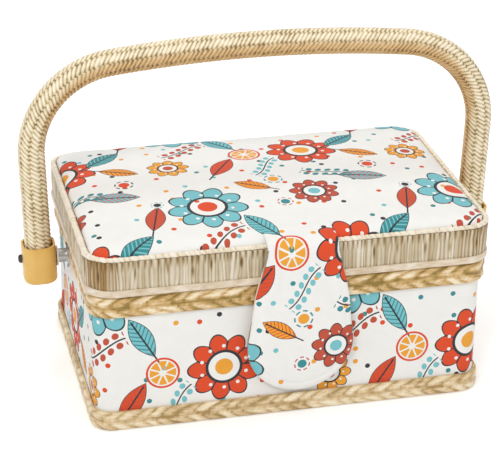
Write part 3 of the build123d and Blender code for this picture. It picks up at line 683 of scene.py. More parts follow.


# Colours in the folds (painted shade), between them and on the crests (painted highlight), roughness, sheen and the
# stretch of the thread streaks; then, where it isn't the usual, metallic, the tint where it is shaded, and how much the
# threads vary.
CLOTHS = {
    # Gathered gold lame: metallic threads, golden brown painted shade in the folds and a pale painted highlight where a
    # crest takes the light.
    "gold_lame": ("lame_dark", "CCBEA0", "lame_light", 0.42, 0.1, (9.0, 0.35), 0.08, "BC9A58", 0.09),
    # Cream satin drawn up over a cord: soft lustre, a little darker in each pucker as painted shade.
    "ruched_piping": ("CDB48C", "EFE2CA", "piping", 0.45, 0.15, (7.0, 1.5)),
    # Smooth pale satin binding, turned round the lid's lower edge.
    "satin_binding": ("C4AB88", "binding", "F4EADB", 0.4, 0.15, (1.5, 6.0)),
    # Cream satin lining: smooth, with a soft lustre and shallow puckers.
    "satin_lining": ("D2BD96", "satin", "F6ECD8", 0.38, 0.15, (1.2, 5.0)),
    # Plaited gold braid of satin strands: painted highlight on the pale crests, orange gold sides and painted shade in
    # the brown hollows.
    "rim_plait": ("braid_dark", "braid_mid", "braid_light", 0.42, 0.1, (1.2, 6.0), 0.05),
    # The same braid at the foot, softer, and lighter and more tan than at the rim as painted light: the rim braid
    # stands in the shade of the lid.
    "foot_plait": ("A98B52", "DCC092", "F8EBCC", 0.48, 0.1, (1.2, 6.0), 0.03),
    # Satin cord wound in eight rows of slanting wraps: painted highlight, pale, on the crests and painted shade, olive
    # brown, between them.
    "wound_cord": ("cord_dark", "E6D2A8", "cord_light", 0.4, 0.1, (3.0, 3.0), 0.0, "E2C7A0", 0.2),
    # Teal cotton of the pincushion: matt plain weave.
    "pincushion_cotton": ("2F7377", "3F8F93", "5FA9AC", 0.85, 0.1, (5.0, 5.0)),
}
# Two colours that drift into one another, roughness and grain; then metallic, coat and the depth of the grain.
HARD_PARTS = {
    # Moulded ABS of the ferrules: mustard, half gloss, with the faint grain of the mould.
    "mustard_abs": ("ferrule", "E3B052", 0.34, 1.5, 0.0, 0.05),
    # Nickel-plated steel: bright and slightly brushed.
    "plated_steel": ("C9CACB", "B4B6B8", 0.28, 2.0, 1.0),
    # Lacquered brass of the hinges: warm, half gloss, finely brushed.
    "lacquered_brass": ("C9A55A", "B48D42", 0.32, 2.0, 1.0),
    # Blackened steel of the pivot caps: dark, half gloss.
    "blackened_steel": ("3C3A38", "565250", 0.4, 2.0, 0.8),
    # Pressed grey board: matt, with flecks of fibre.
    "greyboard": ("A79F92", "958C7E", 0.9, 0.8, 0.0, 0.0, 0.0001),
    # Embossed cream paper on the underside: matt, with a fine leather grain.
    "lining_paper": ("E4DAC6", "D8CCB4", 0.8, 0.7, 0.0, 0.0, 0.0002),
    # Natural nylon washers: milky white, half matt.
    "natural_nylon": ("E8E6DE", "DEDACE", 0.4, 1.0),
    # Grey polypropylene core of the handle, seen only at its cut ends.
    "core_polypropylene": ("8C8A86", "7C7A76", 0.45, 1.0),
    # Moulded polystyrene tray: cream, half gloss, with a faint mould grain.
    "tray_polystyrene": ("EFE6D2", "E6DBC3", 0.3, 1.2, 0.0, 0.1),
}
made_finishes = {}


def finish(name):
    """A finish by its name, made once."""
    if name not in made_finishes:
        if name in CLOTHS:
            made_finishes[name] = folded_cloth(name, *CLOTHS[name])
        elif name in HARD_PARTS:
            made_finishes[name] = moulded(name, *HARD_PARTS[name])
        else:
            made_finishes[name] = printed_cotton()
    return made_finishes[name]


# ---- the stage -----------------------------------------------------------------------------------


class BASKET_OT_stage(bpy.types.Operator):
    """Sets the floor, the soft lamps and the camera"""

    bl_idname = "basket.stage"
    bl_label = "Stage"

    def execute(self, context):
        scene = context.scene
        turn, tilt, roll = math.radians(-13.717), math.radians(25.179), math.radians(0.742)
        target = Vector((-0.005301, 0.01023, 0.08153))
        away = Vector((math.sin(turn) * math.cos(tilt), -math.cos(turn) * math.cos(tilt), math.sin(tilt)))
        right = (-away).cross(Vector((0, 0, 1))).normalized()
        up = right.cross(-away)
        across = math.cos(roll) * right + math.sin(roll) * up
        above = -math.sin(roll) * right + math.cos(roll) * up
        camera = bpy.data.cameras.new("camera")
        # The focal length is 1857.25 pixels of a frame 500 pixels wide.
        sensor, focal, width, distance = 36.0, 1857.25, 500.0, 1.13706
        camera.lens = sensor * focal / width
        camera.sensor_width = sensor
        camera.clip_start = 0.01
        viewer = put("camera", camera)
        place = target + away * distance
        viewer.matrix_world = Matrix(
            (
                (across.x, above.x, away.x, place.x),
                (across.y, above.y, away.y, place.y),
                (across.z, above.z, away.z, place.z),
                (0, 0, 0, 1),
            )
        )
        scene.camera = viewer

        sweep = bpy.data.meshes.new("floor")
        rework(sweep, lambda bm: bmesh.ops.create_grid(bm, x_segments=4, y_segments=4, size=4.0))
        floor = put("floor", sweep)
        floor.data.materials.append(self.floor_finish())

        world = bpy.data.worlds.new("studio")
        scene.world = world
        world.use_nodes = True
        tree = world.node_tree
        tree.nodes.clear()
        path = add(tree, "LightPath")
        rays = [path.outputs["Is Camera Ray"], path.outputs["Is Transmission Ray"]]
        seen = add(tree, "Math", {"operation": "MAXIMUM"}, rays)
        white = add(tree, "Background", {}, {"Color": (1, 1, 1, 1), "Strength": 1.0})
        soft = add(tree, "Background", {}, {"Color": linear("F8F8F8"), "Strength": 0.63})
        shown = add(tree, "MixShader", {}, [seen, soft, white])
        add(tree, "OutputWorld", {}, {"Surface": shown})

        for name, place, size, power in (
            ("key", (-0.9, -1.4, 1.7), 0.8, 16.0),
            ("fill", (1.5, -1.0, 0.9), 1.2, 3.6),
            ("back", (0.3, 1.4, 1.5), 1.0, 5.0),
            ("top", (-0.1, 0.2, 1.9), 1.0, 5.0),
        ):
            lamp = bpy.data.lights.new(name, "AREA")
            lamp.shape = "DISK"
            lamp.size = size
            lamp.energy = power
            light = put(name, lamp)
            light.location = place
            aim = Vector((0, 0, 0.08)) - Vector(place)
            light.rotation_euler = aim.to_track_quat("-Z", "Y").to_euler()
        scene.view_settings.view_transform = "Standard"
        return {"FINISHED"}

    def floor_finish(self):
        """White paper sweep: it keeps the shadow, and shows as white where nothing shades it."""
        material = bpy.data.materials.new("paper_sweep")
        material.use_nodes = True
        tree = material.node_tree
        tree.nodes.clear()
        path = add(tree, "LightPath")
        rays = [path.outputs["Is Camera Ray"], path.outputs["Is Glossy Ray"]]
        seen = add(tree, "Math", {"operation": "MAXIMUM"}, rays)
        lift = add(tree, "Math", {"operation": "MULTIPLY"}, [seen, 0.26])
        fibre = add(tree, "TexNoise", {}, {"Vector": add(tree, "TexCoord").outputs["Object"], "Scale": 60.0})
        tone = add(tree, "MapRange", {}, {"Value": fibre, 3: 0.93, 4: 0.95})
        paper = add(tree, "BsdfDiffuse", {}, {"Color": tone})
        glow = add(tree, "Emission", {}, {"Color": (1, 1, 1, 1), "Strength": lift})
        both = add(tree, "AddShader", {}, [paper, glow])
        add(tree, "OutputMaterial", {}, {"Surface": both})
        return material


# ---- the box -------------------------------------------------------------------------------------


class BASKET_OT_walls(bpy.types.Operator):
    """Covers the walls with printed cotton"""

    bl_idname = "basket.walls"
    bl_label = "Printed walls"

    def execute(self, context):
        total = loop_length(*WALL)

        def place(u, v):
            run, z = u * total, 0.0008 + v * (RIM_TOP - 0.0012)
            slack = 0.00018 * uneven(run, total, 3, (0.061, 0.038, 0.021), 4.0) * np.sin(np.pi * v)
            x, y = round_loop(run, slack, *WALL)
            return {"xyz": (x, y, z), "uv": (run, z)}

        walls = thicken(grid_piece("printed_walls", 380, 22, place), 0.0008)
        dress(walls, "base", "printed_cotton", "printed_cotton", "wall_cover")
        return {"FINISHED"}


def plait(name, bottom, top, pitch, relief, slant, seed):
    """A flat plait round the box: loose satin strands cross from both edges and dip under one another in the middle."""
    total = loop_length(*BRAID)
    count = round(total / pitch)
    chance = np.random.default_rng(seed)
    glow = chance.uniform(-0.28, 0.26, (2, count))
    lean = chance.uniform(-0.4, 0.4, (2, count + 1))
    middle, half = (bottom + top) / 2, (top - bottom) / 2

    def place(u, v):
        run, angle = u * total, v * 2 * np.pi
        c, s = np.cos(angle), np.sin(angle)
        across = squared(s, 0.55)
        out = -BRAID_HALF + BRAID_HALF * squared(c, 0.45)
        row = (across > 0).astype(int)
        wide = np.abs(across)
        wander = 0.22 * uneven(run, total, seed, (0.041, 0.023), 2.0)
        phase = u * count - slant * wide + 0.5 * row + wander
        # Every strand has an edge of its own lean, so that the strands differ in width and direction.
        strand = np.floor(phase).astype(int) % count
        share = phase - np.floor(phase)
        edge = lean[row, strand] * wide * (1 - share) + lean[row, strand + 1] * wide * share
        share = np.clip(share + 0.6 * edge * share * (1 - share) * 4, 0, 1)
        dip = 1 - 0.75 * np.exp(-((wide / 0.16) ** 2))
        round_ = np.sin(np.pi * share) ** 0.7 * dip * np.sin(np.pi * np.clip(0.5 + wide * 0.48, 0, 1)) ** 0.25
        thread = 0.5 + 0.5 * np.cos(2 * np.pi * (share * 3.2 + glow[row, strand]))
        front = np.clip(c * 1.5, 0, 1)
        x, y = round_loop(run, out + relief * (round_ + 0.12 * thread - 0.6) * front, *BRAID)
        z = middle + across * half * (1 + 0.035 * (round_ - 0.5) * front)
        # Strands are painted pale on their crests and brown where they dip and between them: painted highlight and
        # painted shade; glow varies each strand at random.
        fold = 0.12 + 0.62 * round_ + 0.2 * thread * round_ + glow[row, strand]
        return {"xyz": (x, y, z), "uv": (run, across * half), "fold": np.where(c > 0, fold, 0.5)}

    return grid_piece(name, 1400, 34, place)


class BASKET_OT_braids(bpy.types.Operator):
    """Lays the plaited braids at the rim and at the foot"""

    bl_idname = "basket.braids"
    bl_label = "Braids"

    def execute(self, context):
        sizes = context.scene.basket_sizes
        rim = plait("rim_plait", RIM_BOTTOM, RIM_TOP - 0.0001, sizes.plait_pitch, sizes.plait_relief, 1.1, 11)
        dress(rim, "base", "gold_braid", "rim_plait", "rim_braid")
        foot = plait("foot_plait", FOOT_BOTTOM, FOOT_TOP, sizes.plait_pitch * 0.85, sizes.plait_relief * 0.8, 1.1, 12)
        dress(foot, "base", "gold_braid", "foot_plait", "foot_braid")
        return {"FINISHED"}


class BASKET_OT_box_lining(bpy.types.Operator):
    """Lines the box and its tray ledges with satin"""

    bl_idname = "basket.box_lining"
    bl_label = "Box lining"

    def execute(self, context):
        total = loop_length(*LINED)
        # From the floor up the wall, over the rim and down to the braid: out from the lining, and height.
        path = [(0, FLOOR_TOP), (0, 0.083), (0.0006, 0.0858), (0.0022, 0.08655), (0.0040, 0.08645), (0.0050, 0.0856)]
        path = np.array(path)
        steps = distances(path)

        def place(u, v):
            run, up = u * total, v * steps[-1]
            out, z = np.interp(up, steps, path[:, 0]), np.interp(up, steps, path[:, 1])
            pucker = gathers(run + 0.002 * np.sin(40 * z), total, 0.014, 21, 0.2, 1.2)
            inward = 0.0007 * pucker * np.clip((z - FLOOR_TOP) / 0.01, 0, 1) * np.clip((0.083 - z) / 0.01, 0, 1)
            x, y = round_loop(run, out - inward, *LINED)
            # Each pucker is painted lighter and the satin between them darker: painted highlight and painted shade.
            return {"xyz": (x, y, z), "uv": (run, up), "fold": 0.45 + 0.5 * pucker}

        walls = thicken(grid_piece("lining_walls", 420, 40, lambda u, v: place(1 - u, v)), 0.0005)
        dress(walls, "base", "satin_lining", "satin_lining", "body_lining")

        floor = pillow(
            "lining_floor",
            160,
            14,
            outline(LINED),
            (0.0, 0.0),
            lambda x, y, k: FLOOR_TOP + 0.0011 + 0.0003 * np.sin(x * 90) * np.cos(y * 120),
            lambda x, y, k: FLOOR_TOP + 0.0004 + 0 * k,
        )
        dress(floor, "base", "satin_lining", "satin_lining")

        bm = bmesh.new()
        low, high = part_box("tray_ledges")
        width = 0.009
        for side in (-1, 1):
            made = bmesh.ops.create_cube(bm, size=1.0)["verts"]
            bmesh.ops.scale(bm, vec=(width, high[1] - low[1], high[2] - low[2]), verts=made)
            centre = (side * (high[0] - width / 2), 0.0, (high[2] + low[2]) / 2)
            bmesh.ops.translate(bm, vec=centre, verts=made)
        bmesh.ops.bevel(bm, geom=bm.edges[:], offset=0.0012, segments=3, profile=0.5, affect="EDGES", material=-1)
        mesh = bpy.data.meshes.new("covered_ledges")
        bm.to_mesh(mesh)
        bm.free()
        mesh.shade_smooth()
        ledges = put("covered_ledges", mesh)
        lay_flat_map(ledges, 1, 2)
        dress(ledges, "base", "satin_lining", "satin_lining", "tray_ledges")
        return {"FINISHED"}


# ---- the lid -------------------------------------------------------------------------------------


def pad_height(x, y):
    """Height of the padded top over its board."""
    crown = 1 - np.clip(np.abs(x) / (PAD[0] / 2), 0, 1) ** 2.6
    across = 1 - np.clip(np.abs(y) / (PAD[1] / 2), 0, 1) ** 2.0
    return PAD_SHOULDER + PAD_CROWN * across * np.sqrt(np.clip(crown, 0, 1))


class BASKET_OT_padded_top(bpy.types.Operator):
    """Stretches printed cotton over the lid's foam"""

    bl_idname = "basket.padded_top"
    bl_label = "Padded top"

    def execute(self, context):
        def top(x, y, k):
            return PAD_EDGE + (pad_height(x, y) - PAD_EDGE) * np.clip(1 - k**26, 0, 1) ** 0.5

        # The pad starts thick at its edge, so that the remesh keeps the edge, and is drawn out to the piping after.
        pad = pillow("padded_top", 260, 30, outline(PAD), (0.0, 0.0), top, lambda x, y, k: PAD_UNDER + 0 * k)
        swell(pad, context.scene.basket_sizes.pad_swell * 0.4)
        mesh = pad.data
        places = vertices(mesh)
        for axis, reach in ((0, PAD[0] / 2 + 0.0004), (1, PAD[1] / 2 + 0.0004)):
            places[axis::3] *= reach / np.abs(places[axis::3]).max()
        low = places[2::3] < PIPING_LEVEL
        places[2::3][low] = PIPING_LEVEL - 0.35 * (PIPING_LEVEL - places[2::3][low])
        mesh.vertices.foreach_set("co", places)
        lay_flat_map(pad)
        dress(pad, "lid", "printed_cotton", "printed_cotton", "lid_cover", "lid_pad")
        return {"FINISHED"}


class BASKET_OT_lid_edges(bpy.types.Operator):
    """Trims the lid's edge: piping, pleated band and binding"""

    bl_idname = "basket.lid_edges"
    bl_label = "Lid edges"

    def execute(self, context):
        sizes = context.scene.basket_sizes
        around = loop_length(*PIPING)

        def place_piping(u, v):
            run, angle = u * around, v * 2 * np.pi
            rib = gathers(run + 0.0008 * np.sin(angle), around, sizes.piping_pitch, 31, 0.3, 0.8)
            # Along the front and the back the cord is thinner, and sits up or down a little.
            x, y = round_loop(run, 0.0, *PIPING)
            slim = np.clip((np.abs(y) - 0.064) / 0.012, 0, 1)
            radius = 0.0017 - 0.00045 * slim + 0.0004 * rib
            x, y = round_loop(run, radius * np.cos(angle) - 0.0002 * slim, *PIPING)
            z = PIPING_LEVEL - 0.0005 * slim * np.sign(y) + radius * np.sin(angle)
            # Painted shadow: the inner lower side of the cord is darkened where it meets the padded top; the puckers
            # are painted lighter on their crests and darker between them, more so at the front and back.
            inner = np.clip(-np.cos(angle) - 0.35, 0, 1) * (1 - 0.6 * slim)
            fold = 0.4 - 0.2 * slim + (0.6 + 0.2 * slim) * rib - 1.3 * inner
            return {"xyz": (x, y, z), "uv": (run, PIPING_RADIUS * angle), "fold": fold}

        piping = grid_piece("ruched_piping", 1500, 14, place_piping)
        dress(piping, "lid", "gold_piping", "ruched_piping", "lid_piping")

        total = loop_length(*BAND)
        chance = np.random.default_rng(45)
        tucks = (np.arange(TUCKS) + chance.uniform(0.15, 0.85, TUCKS)) / TUCKS
        tuck_height = chance.uniform(0.45, 0.72, TUCKS)
        tuck_size = chance.uniform(0.3, 1.0, TUCKS)

        def place_band(u, v):
            run = u * total
            x, y = round_loop(run, 0.0, *BAND)
            front = np.clip((-y - 0.064) / 0.012, 0, 1)
            # Painted shade: the band is darker towards its corners.
            corner_shade = near_corner(x, y, *BAND, 0.022)
            notch = gathers(run, total, 0.0031, 44, 0.55, 0.8)
            # At the front the band is drawn up over the foot of the piping.
            high = BAND_TOP + 0.0008 + 0.0008 * front
            z = BINDING_TOP - 0.0006 + v * (high - BINDING_TOP + 0.0006)
            drift = 0.0007 * uneven(run, total, 41, (0.023, 0.013), 3.0) * np.sin(3 * v + 60 * run)
            pleat = gathers(run + drift, total, sizes.pleat_pitch, 42, 0.35, 0.75)
            coarse = gathers(run - drift, total, sizes.pleat_pitch * 3.3, 43, 0.2, 1.0)
            # The pleats start from the gathering stitches at the top, and a tuck shows here and there.
            top = np.clip((v - 0.66) / 0.26, 0, 1)
            cell = np.minimum((u * TUCKS).astype(int), TUCKS - 1)
            tuck = np.exp(-(((u - tucks[cell]) * total / 0.0007) ** 2) - ((v - tuck_height[cell]) / 0.17) ** 2)
            tuck = tuck * tuck_size[cell]
            relief = sizes.pleat_depth * ((1 - top) * (0.7 * pleat + 0.3 * coarse) + 0.9 * top * notch - 0.8 * tuck)
            relief = relief * (0.35 + 0.65 * np.sin(np.pi * np.clip(0.9 * v, 0.02, 0.98)) ** 0.5)
            x, y = round_loop(run, relief - 0.0009 + 0.0003 * front * top, *BAND)
            # Painted shade and highlight: the band is darker between its pleats, along its foot and between the notches
            # at its top, in the tucks, in its corners and, as the shadow of the piping, at its top; the crests of the
            # pleats are lighter.
            foot = np.clip(1 - v / 0.12, 0, 1) * (1 - notch)
            body = 0.3 + 0.6 * pleat * (0.65 + 0.35 * coarse)
            fold = body * (1 - top) + (0.05 + 0.85 * notch**1.5) * top - 0.5 * foot - 0.9 * tuck
            streak = (1 - pleat) ** 1.5 * (1 - coarse)
            shade = 1.3 * corner_shade * (1 - pleat) + 0.7 * streak + 0.9 * tuck + 0.8 * top * (1 - notch) ** 2
            return {"xyz": (x, y, z), "uv": (run, z), "fold": fold, "shade": np.clip(shade, 0, 1)}

        band = thicken(grid_piece("pleated_band", 2400, 16, place_band), 0.0008)
        dress(band, "lid", "gold_lame", "gold_lame", "lid_band")

        round_ = loop_length(*BINDING)
        level, half_high, half_thick = 0.0892, 0.0022, 0.0016

        def place_binding(u, v):
            run, angle = u * round_, v * 2 * np.pi
            c, s = np.cos(angle), np.sin(angle)
            out = -half_thick + half_thick * squared(c, 0.6)
            z = level + half_high * squared(s, 0.6)
            soft = uneven(run, round_, 51, (0.043, 0.019, 0.009), 2.0)
            x, y = round_loop(run, out + 0.00012 * soft * np.clip(c, 0, 1), *BINDING)
            # The soft waves are painted lighter where they stand out and darker where they sink: painted highlight and
            # painted shade.
            return {"xyz": (x, y, z), "uv": (run, 0.002 * angle), "fold": 0.5 + 0.18 * soft}

        binding = grid_piece("satin_binding", 620, 20, place_binding)
        dress(binding, "lid", "cream_binding", "satin_binding", "lid_binding")
        return {"FINISHED"}


class BASKET_OT_lid_lining(bpy.types.Operator):
    """Lines the lid with satin, and sews in the pincushion and the pocket"""

    bl_idname = "basket.lid_lining"
    bl_label = "Lid lining"

    def execute(self, context):
        total = loop_length(*LID_INNER)

        def place(u, v):
            run, z = (1 - u) * total, LID_BOTTOM + 0.0004 + v * 0.018
            pucker = gathers(run, total, 0.011, 61, 0.2, 1.2)
            x, y = round_loop(run, -0.0004 - 0.0005 * pucker * np.sin(np.pi * v), *LID_INNER)
            # Each pucker is painted lighter and the satin between them darker: painted highlight and painted shade.
            return {"xyz": (x, y, z), "uv": (run, z), "fold": 0.45 + 0.5 * pucker}

        walls = thicken(grid_piece("lid_lining_walls", 420, 10, place), 0.0004)
        dress(walls, "lid", "satin_lining", "satin_lining", "lid_lining")

        ceiling = pillow(
            "lid_ceiling",
            160,
            14,
            outline(LID_INNER),
            (0.0, 0.0),
            lambda x, y, k: 0.1060 + 0 * k,
            lambda x, y, k: 0.1054 - 0.0003 * np.sin(x * 80 + 1) * np.cos(y * 110),
        )
        dress(ceiling, "lid", "satin_lining", "satin_lining")

        low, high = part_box("pincushion")
        size, middle = high - low, (high + low) / 2

        def cushion_edge(u):
            angle = u * 2 * np.pi
            c, s = np.cos(angle), np.sin(angle)
            pull = 1 - 0.05 * np.cos(2 * angle) ** 2
            return (
                middle[0] + size[0] / 2 * squared(c, 0.45) * pull,
                middle[1] + size[1] / 2 * squared(s, 0.45) * pull,
            )

        cushion = pillow(
            "pincushion_pad",
            96,
            14,
            cushion_edge,
            (middle[0], middle[1]),
            lambda x, y, k: high[2] - 0.0002 + 0 * k,
            lambda x, y, k: high[2] - 0.002 - (size[2] - 0.0035) * np.clip(1 - k**2.6, 0, 1) ** 0.6,
        )
        swell(cushion, 0.0015)
        lay_flat_map(cushion)
        dress(cushion, "lid", "pincushion_cloth", "pincushion_cotton", "pincushion")

        low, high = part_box("pocket")
        size = high - low

        def place_pocket(u, v):
            x = low[0] + u * size[0]
            y = low[1] + v * size[1]
            pleat = gathers(u * size[0], size[0], 0.005, 71, 0.3, 1.0)
            belly = np.sin(np.pi * np.clip(u, 0, 1)) ** 0.5 * np.sin(np.pi * np.clip(v, 0, 1)) ** 0.6
            z = high[2] - 0.0006 - (size[2] - 0.0016) * belly - 0.0008 * pleat * belly
            # The colour follows the pleats, lighter on them and darker between them: painted highlight and painted
            # shade.
            return {"xyz": (x, y, z), "uv": (x, y), "fold": 0.3 + 0.7 * pleat}

        pocket = thicken(grid_piece("gathered_pocket", 150, 40, place_pocket), 0.0004)
        dress(pocket, "lid", "satin_lining", "satin_lining", "pocket")

        low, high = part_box("pocket_elastic")
        size, middle = high - low, (high + low) / 2

        def place_casing(u, v):
            angle = v * 2 * np.pi
            c, s = np.cos(angle), np.sin(angle)
            ruffle = gathers(u * size[0], size[0], 0.0022, 72, 0.4, 0.8)
            full = np.clip(np.minimum(u, 1 - u) / 0.01, 0.02, 1) ** 0.5
            swell_ = full * (0.82 + 0.18 * ruffle)
            y = middle[1] + size[1] / 2 * squared(c, 0.7) * swell_
            z = middle[2] + size[2] / 2 * squared(s, 0.7) * swell_
            # The ruffles are painted lighter where they swell and darker between them: painted highlight and painted
            # shade.
            return {"xyz": (low[0] + u * size[0], y, z), "uv": (u * size[0], v * 0.012), "fold": 0.25 + 0.75 * ruffle}

        casing = grid_piece("elastic_casing", 320, 16, place_casing)
        face_outwards(casing)
        dress(casing, "lid", "satin_lining", "satin_lining", "pocket_elastic")
        return {"FINISHED"}


class BASKET_OT_tab(bpy.types.Operator):
    """Sews the padded closing tab to the lid"""

    bl_idname = "basket.tab"
    bl_label = "Closing tab"

    def execute(self, context):
        neck, bell, drop, lift = 0.02075, 0.0315, 0.0925, 0.026
        # Rings of the pad spread from this height on its middle line.
        heart = -0.045
        # The cut of the tab's cloth, flat: u across and v up it, from the fold at 0.
        reach = math.hypot(neck, drop - bell)
        lean = math.atan2(drop - bell, neck) - math.acos(bell / reach)
        side_u, side_v = bell * math.cos(lean), bell * math.sin(lean) - (drop - bell)
        arc = np.linspace(-math.pi - lean, lean, 60)
        # The sides bow out a little between the neck and the round end.
        share = np.linspace(0, 1, 24)
        side = [(neck + (side_u - neck) * t + 0.0016 * math.sin(math.pi * t) ** 2, side_v * t) for t in share]
        cut = [(-neck, lift)] + [(-u, v) for u, v in side]
        cut += [(bell * math.cos(a), bell * math.sin(a) - (drop - bell)) for a in arc[1:-1]]
        cut += side[::-1] + [(neck, lift), (-neck, lift)]
        cut = np.array(cut)
        steps = distances(cut)

        def edge(u):
            return np.interp(u * steps[-1], steps, cut[:, 0]), np.interp(u * steps[-1], steps, cut[:, 1])

        # The line that its under side follows: down the front, over the piping and on to the padded top.
        tilt = math.tan(math.radians(2.0))
        line = [(-0.0831 + (0.1093 - z) * tilt, z) for z in (0.0160, 0.040, 0.070, 0.095, 0.105)]
        line += [(-0.0829, 0.1085), (-0.0818, 0.1108), (-0.0796, 0.1122), (-0.0765, 0.1128), (-0.072, 0.1134)]
        line += [(-0.067, 0.1143), (-0.0615, 0.1152)]
        line = np.array(line)
        dense = np.linspace(0, 1, 400)
        knots = distances(line)
        way_y = np.interp(dense * knots[-1], knots, line[:, 0])
        way_z = np.interp(dense * knots[-1], knots, line[:, 1])
        for _ in range(120):
            way_y[1:-1] = (way_y[:-2] + way_y[1:-1] * 2 + way_y[2:]) / 4
            way_z[1:-1] = (way_z[:-2] + way_z[1:-1] * 2 + way_z[2:]) / 4
        way = distances(np.stack([way_y, way_z], axis=1))
        slope_y, slope_z = np.gradient(way_y, way), np.gradient(way_z, way)
        low_v, high_v = -drop, lift

        def place(u, v):
            k = np.where(v < 0.5, v * 2, (1 - v) * 2)
            k = 1 - (1 - k) ** 1.5
            edge_u, edge_v = edge(u)
            across, up = edge_u * k, heart + (edge_v - heart) * k
            puff = np.clip(1 - k**7, 0, 1) ** 0.55
            thin = np.clip((up + 0.004) / 0.016, 0, 1)
            hem = np.exp(-(((k - 0.885) / 0.022) ** 2)) * np.clip(-up / 0.01, 0, 1)
            # Two soft folds run down from the neck, where the pad is bent over the lid's edge.
            fall = np.clip((up + 0.046) / 0.03, 0, 1) * np.clip(-up / 0.006, 0, 1)
            left = np.exp(-(((across + 0.0105 - 0.12 * up) / 0.0026) ** 2))
            right = np.exp(-(((across - 0.0145 + 0.10 * up) / 0.0022) ** 2))
            high = 0.0029 * puff - 0.00035 * hem - 0.0007 * fall * (0.7 * left + right)
            high = np.where(v < 0.5, 0.0, high * (1 - 0.35 * thin))
            at = (up - low_v) / (high_v - low_v) * way[-1]
            y, z = np.interp(at, way, way_y), np.interp(at, way, way_z)
            dy, dz = np.interp(at, way, slope_y), np.interp(at, way, slope_z)
            size = np.hypot(dy, dz)
            return {
                "xyz": (TAB_AXIS[0] + across, y - high * dz / size, z + high * dy / size),
                "uv": (TAB_AXIS[0] + across, way_y[-1] - way[-1] + at),
            }

        pad = grid_piece("padded_tab", 300, 110, place)
        face_outwards(pad)
        dress(pad, None, "printed_cotton", "printed_cotton", "tab_face", "tab_root")
        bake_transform(pad)

        def place_back(u, v):
            edge_u, edge_v = edge(u)
            k = 0.985 * v
            across, up = edge_u * k, heart + (np.minimum(edge_v, -0.001) - heart) * k
            z = TAB_AXIS[2] + up
            y = TAB_AXIS[1] + 0.0019 + (TAB_AXIS[2] - z) * tilt
            return {"xyz": (TAB_AXIS[0] + across, y, z), "uv": (across, up), "fold": 0.55 + 0.1 * np.sin(across * 200)}

        backing = thicken(grid_piece("tab_backing", 160, 16, place_back), 0.0006, 0.0)
        dress(backing, "tab", "satin_lining", "satin_lining", "tab_back")
        return {"FINISHED"}


# ---- the handle ----------------------------------------------------------------------------------


class BASKET_OT_handle(bpy.types.Operator):
    """Winds the handle with satin cord"""

    bl_idname = "basket.handle"
    bl_label = "Wound handle"

    def execute(self, context):
        sizes = context.scene.basket_sizes
        # The middle line of the cord in the handle's plane, as the core runs: foot, leg, corner, crown.
        foot, leg = (0.13557, 0.0791), (0.13747, 0.13885)
        corner, bend = (0.0835, 0.14055), 0.054
        crown, crown_radius = (0.0, -0.5907), 0.790
        half_crown = math.radians(6.514)
        start = math.atan2(leg[1] - corner[1], leg[0] - corner[0])
        corner_turn = np.linspace(start, math.pi / 2 - half_crown, 60)
        leg_run = np.linspace(0, 1, 40)
        right_side = [(foot[0] + (leg[0] - foot[0]) * t, foot[1] + (leg[1] - foot[1]) * t) for t in leg_run]
        right_side += [(corner[0] + bend * math.cos(a), corner[1] + bend * math.sin(a)) for a in corner_turn[1:]]
        crown_turn = np.linspace(half_crown, 0, 40)
        right_side += [
            (crown[0] + crown_radius * math.sin(a), crown[1] + crown_radius * math.cos(a)) for a in crown_turn[1:]
        ]
        line = np.array(right_side + [(-x, z) for x, z in right_side[-2::-1]])
        steps = distances(line)
        total = steps[-1]
        slope_x, slope_z = np.gradient(line[:, 0], steps), np.gradient(line[:, 1], steps)
        pitch = total / round(total / sizes.winding_pitch)
        chance = np.random.default_rng(82).uniform(-0.14, 0.12, 997)

        def place(u, v):
            run, angle = u * total, v * 2 * np.pi
            dx, dz = np.interp(run, steps, slope_x), np.interp(run, steps, slope_z)
            size = np.hypot(dx, dz)
            # Eight rows of short slanting wraps lie round the cord, and meet half a wrap apart.
            turned = np.mod(v * CORD_ROWS - 0.38, CORD_ROWS)
            row = np.floor(turned)
            inside = turned - row
            wander = 0.10 * uneven(run, total, 81, (0.021, 0.009, 0.034), 3.0) + 0.05 * np.sin(row * 2.4 + run * 300)
            phase = run / pitch + 1.5 * inside + wander
            share = phase - np.floor(phase)
            taper = np.sin(np.pi * np.clip(inside, 0.02, 0.98)) ** 0.5
            wrap = np.clip(np.sin(np.pi * share) ** 0.85 - 0.62 * (1 - taper), 0, 1)
            # Each wrap is painted pale on its crest and olive brown in the gaps between wraps: painted highlight and
            # painted shade; bright varies the wraps at random.
            bright = chance[np.mod(np.floor(phase).astype(int) * 7 + row.astype(int) * 131, len(chance))]
            radius = CORD_RADIUS + sizes.winding_relief * (wrap - 0.7)
            x, z = np.interp(run, steps, line[:, 0]), np.interp(run, steps, line[:, 1])
            out = radius * np.cos(angle)
            # The underside of the arch is tinted tan as painted shade, where less light reaches it; the inner side of
            # the legs is tinted tan as the cord's own colour there.
            limit = 1.07 * np.abs(dx / size) - 0.84
            return {
                "xyz": (x + out * dz / size, PIVOT[1] + radius * np.sin(angle), z - out * dx / size),
                "uv": (run, CORD_RADIUS * angle),
                "fold": wrap + bright,
                "shade": np.clip((limit - np.cos(angle)) / 0.45 + 0.5, 0, 1),
            }

        cord = grid_piece("cord_winding", 1500, 60, place)

        def close_ends(bm):
            bmesh.ops.holes_fill(bm, edges=[edge for edge in bm.edges if edge.is_boundary], sides=0)
            bmesh.ops.recalc_face_normals(bm, faces=bm.faces)

        rework(cord.data, close_ends)
        cord.data.shade_smooth()
        dress(cord, "handle", "gold_cord", "wound_cord", "handle_winding")
        return {"FINISHED"}


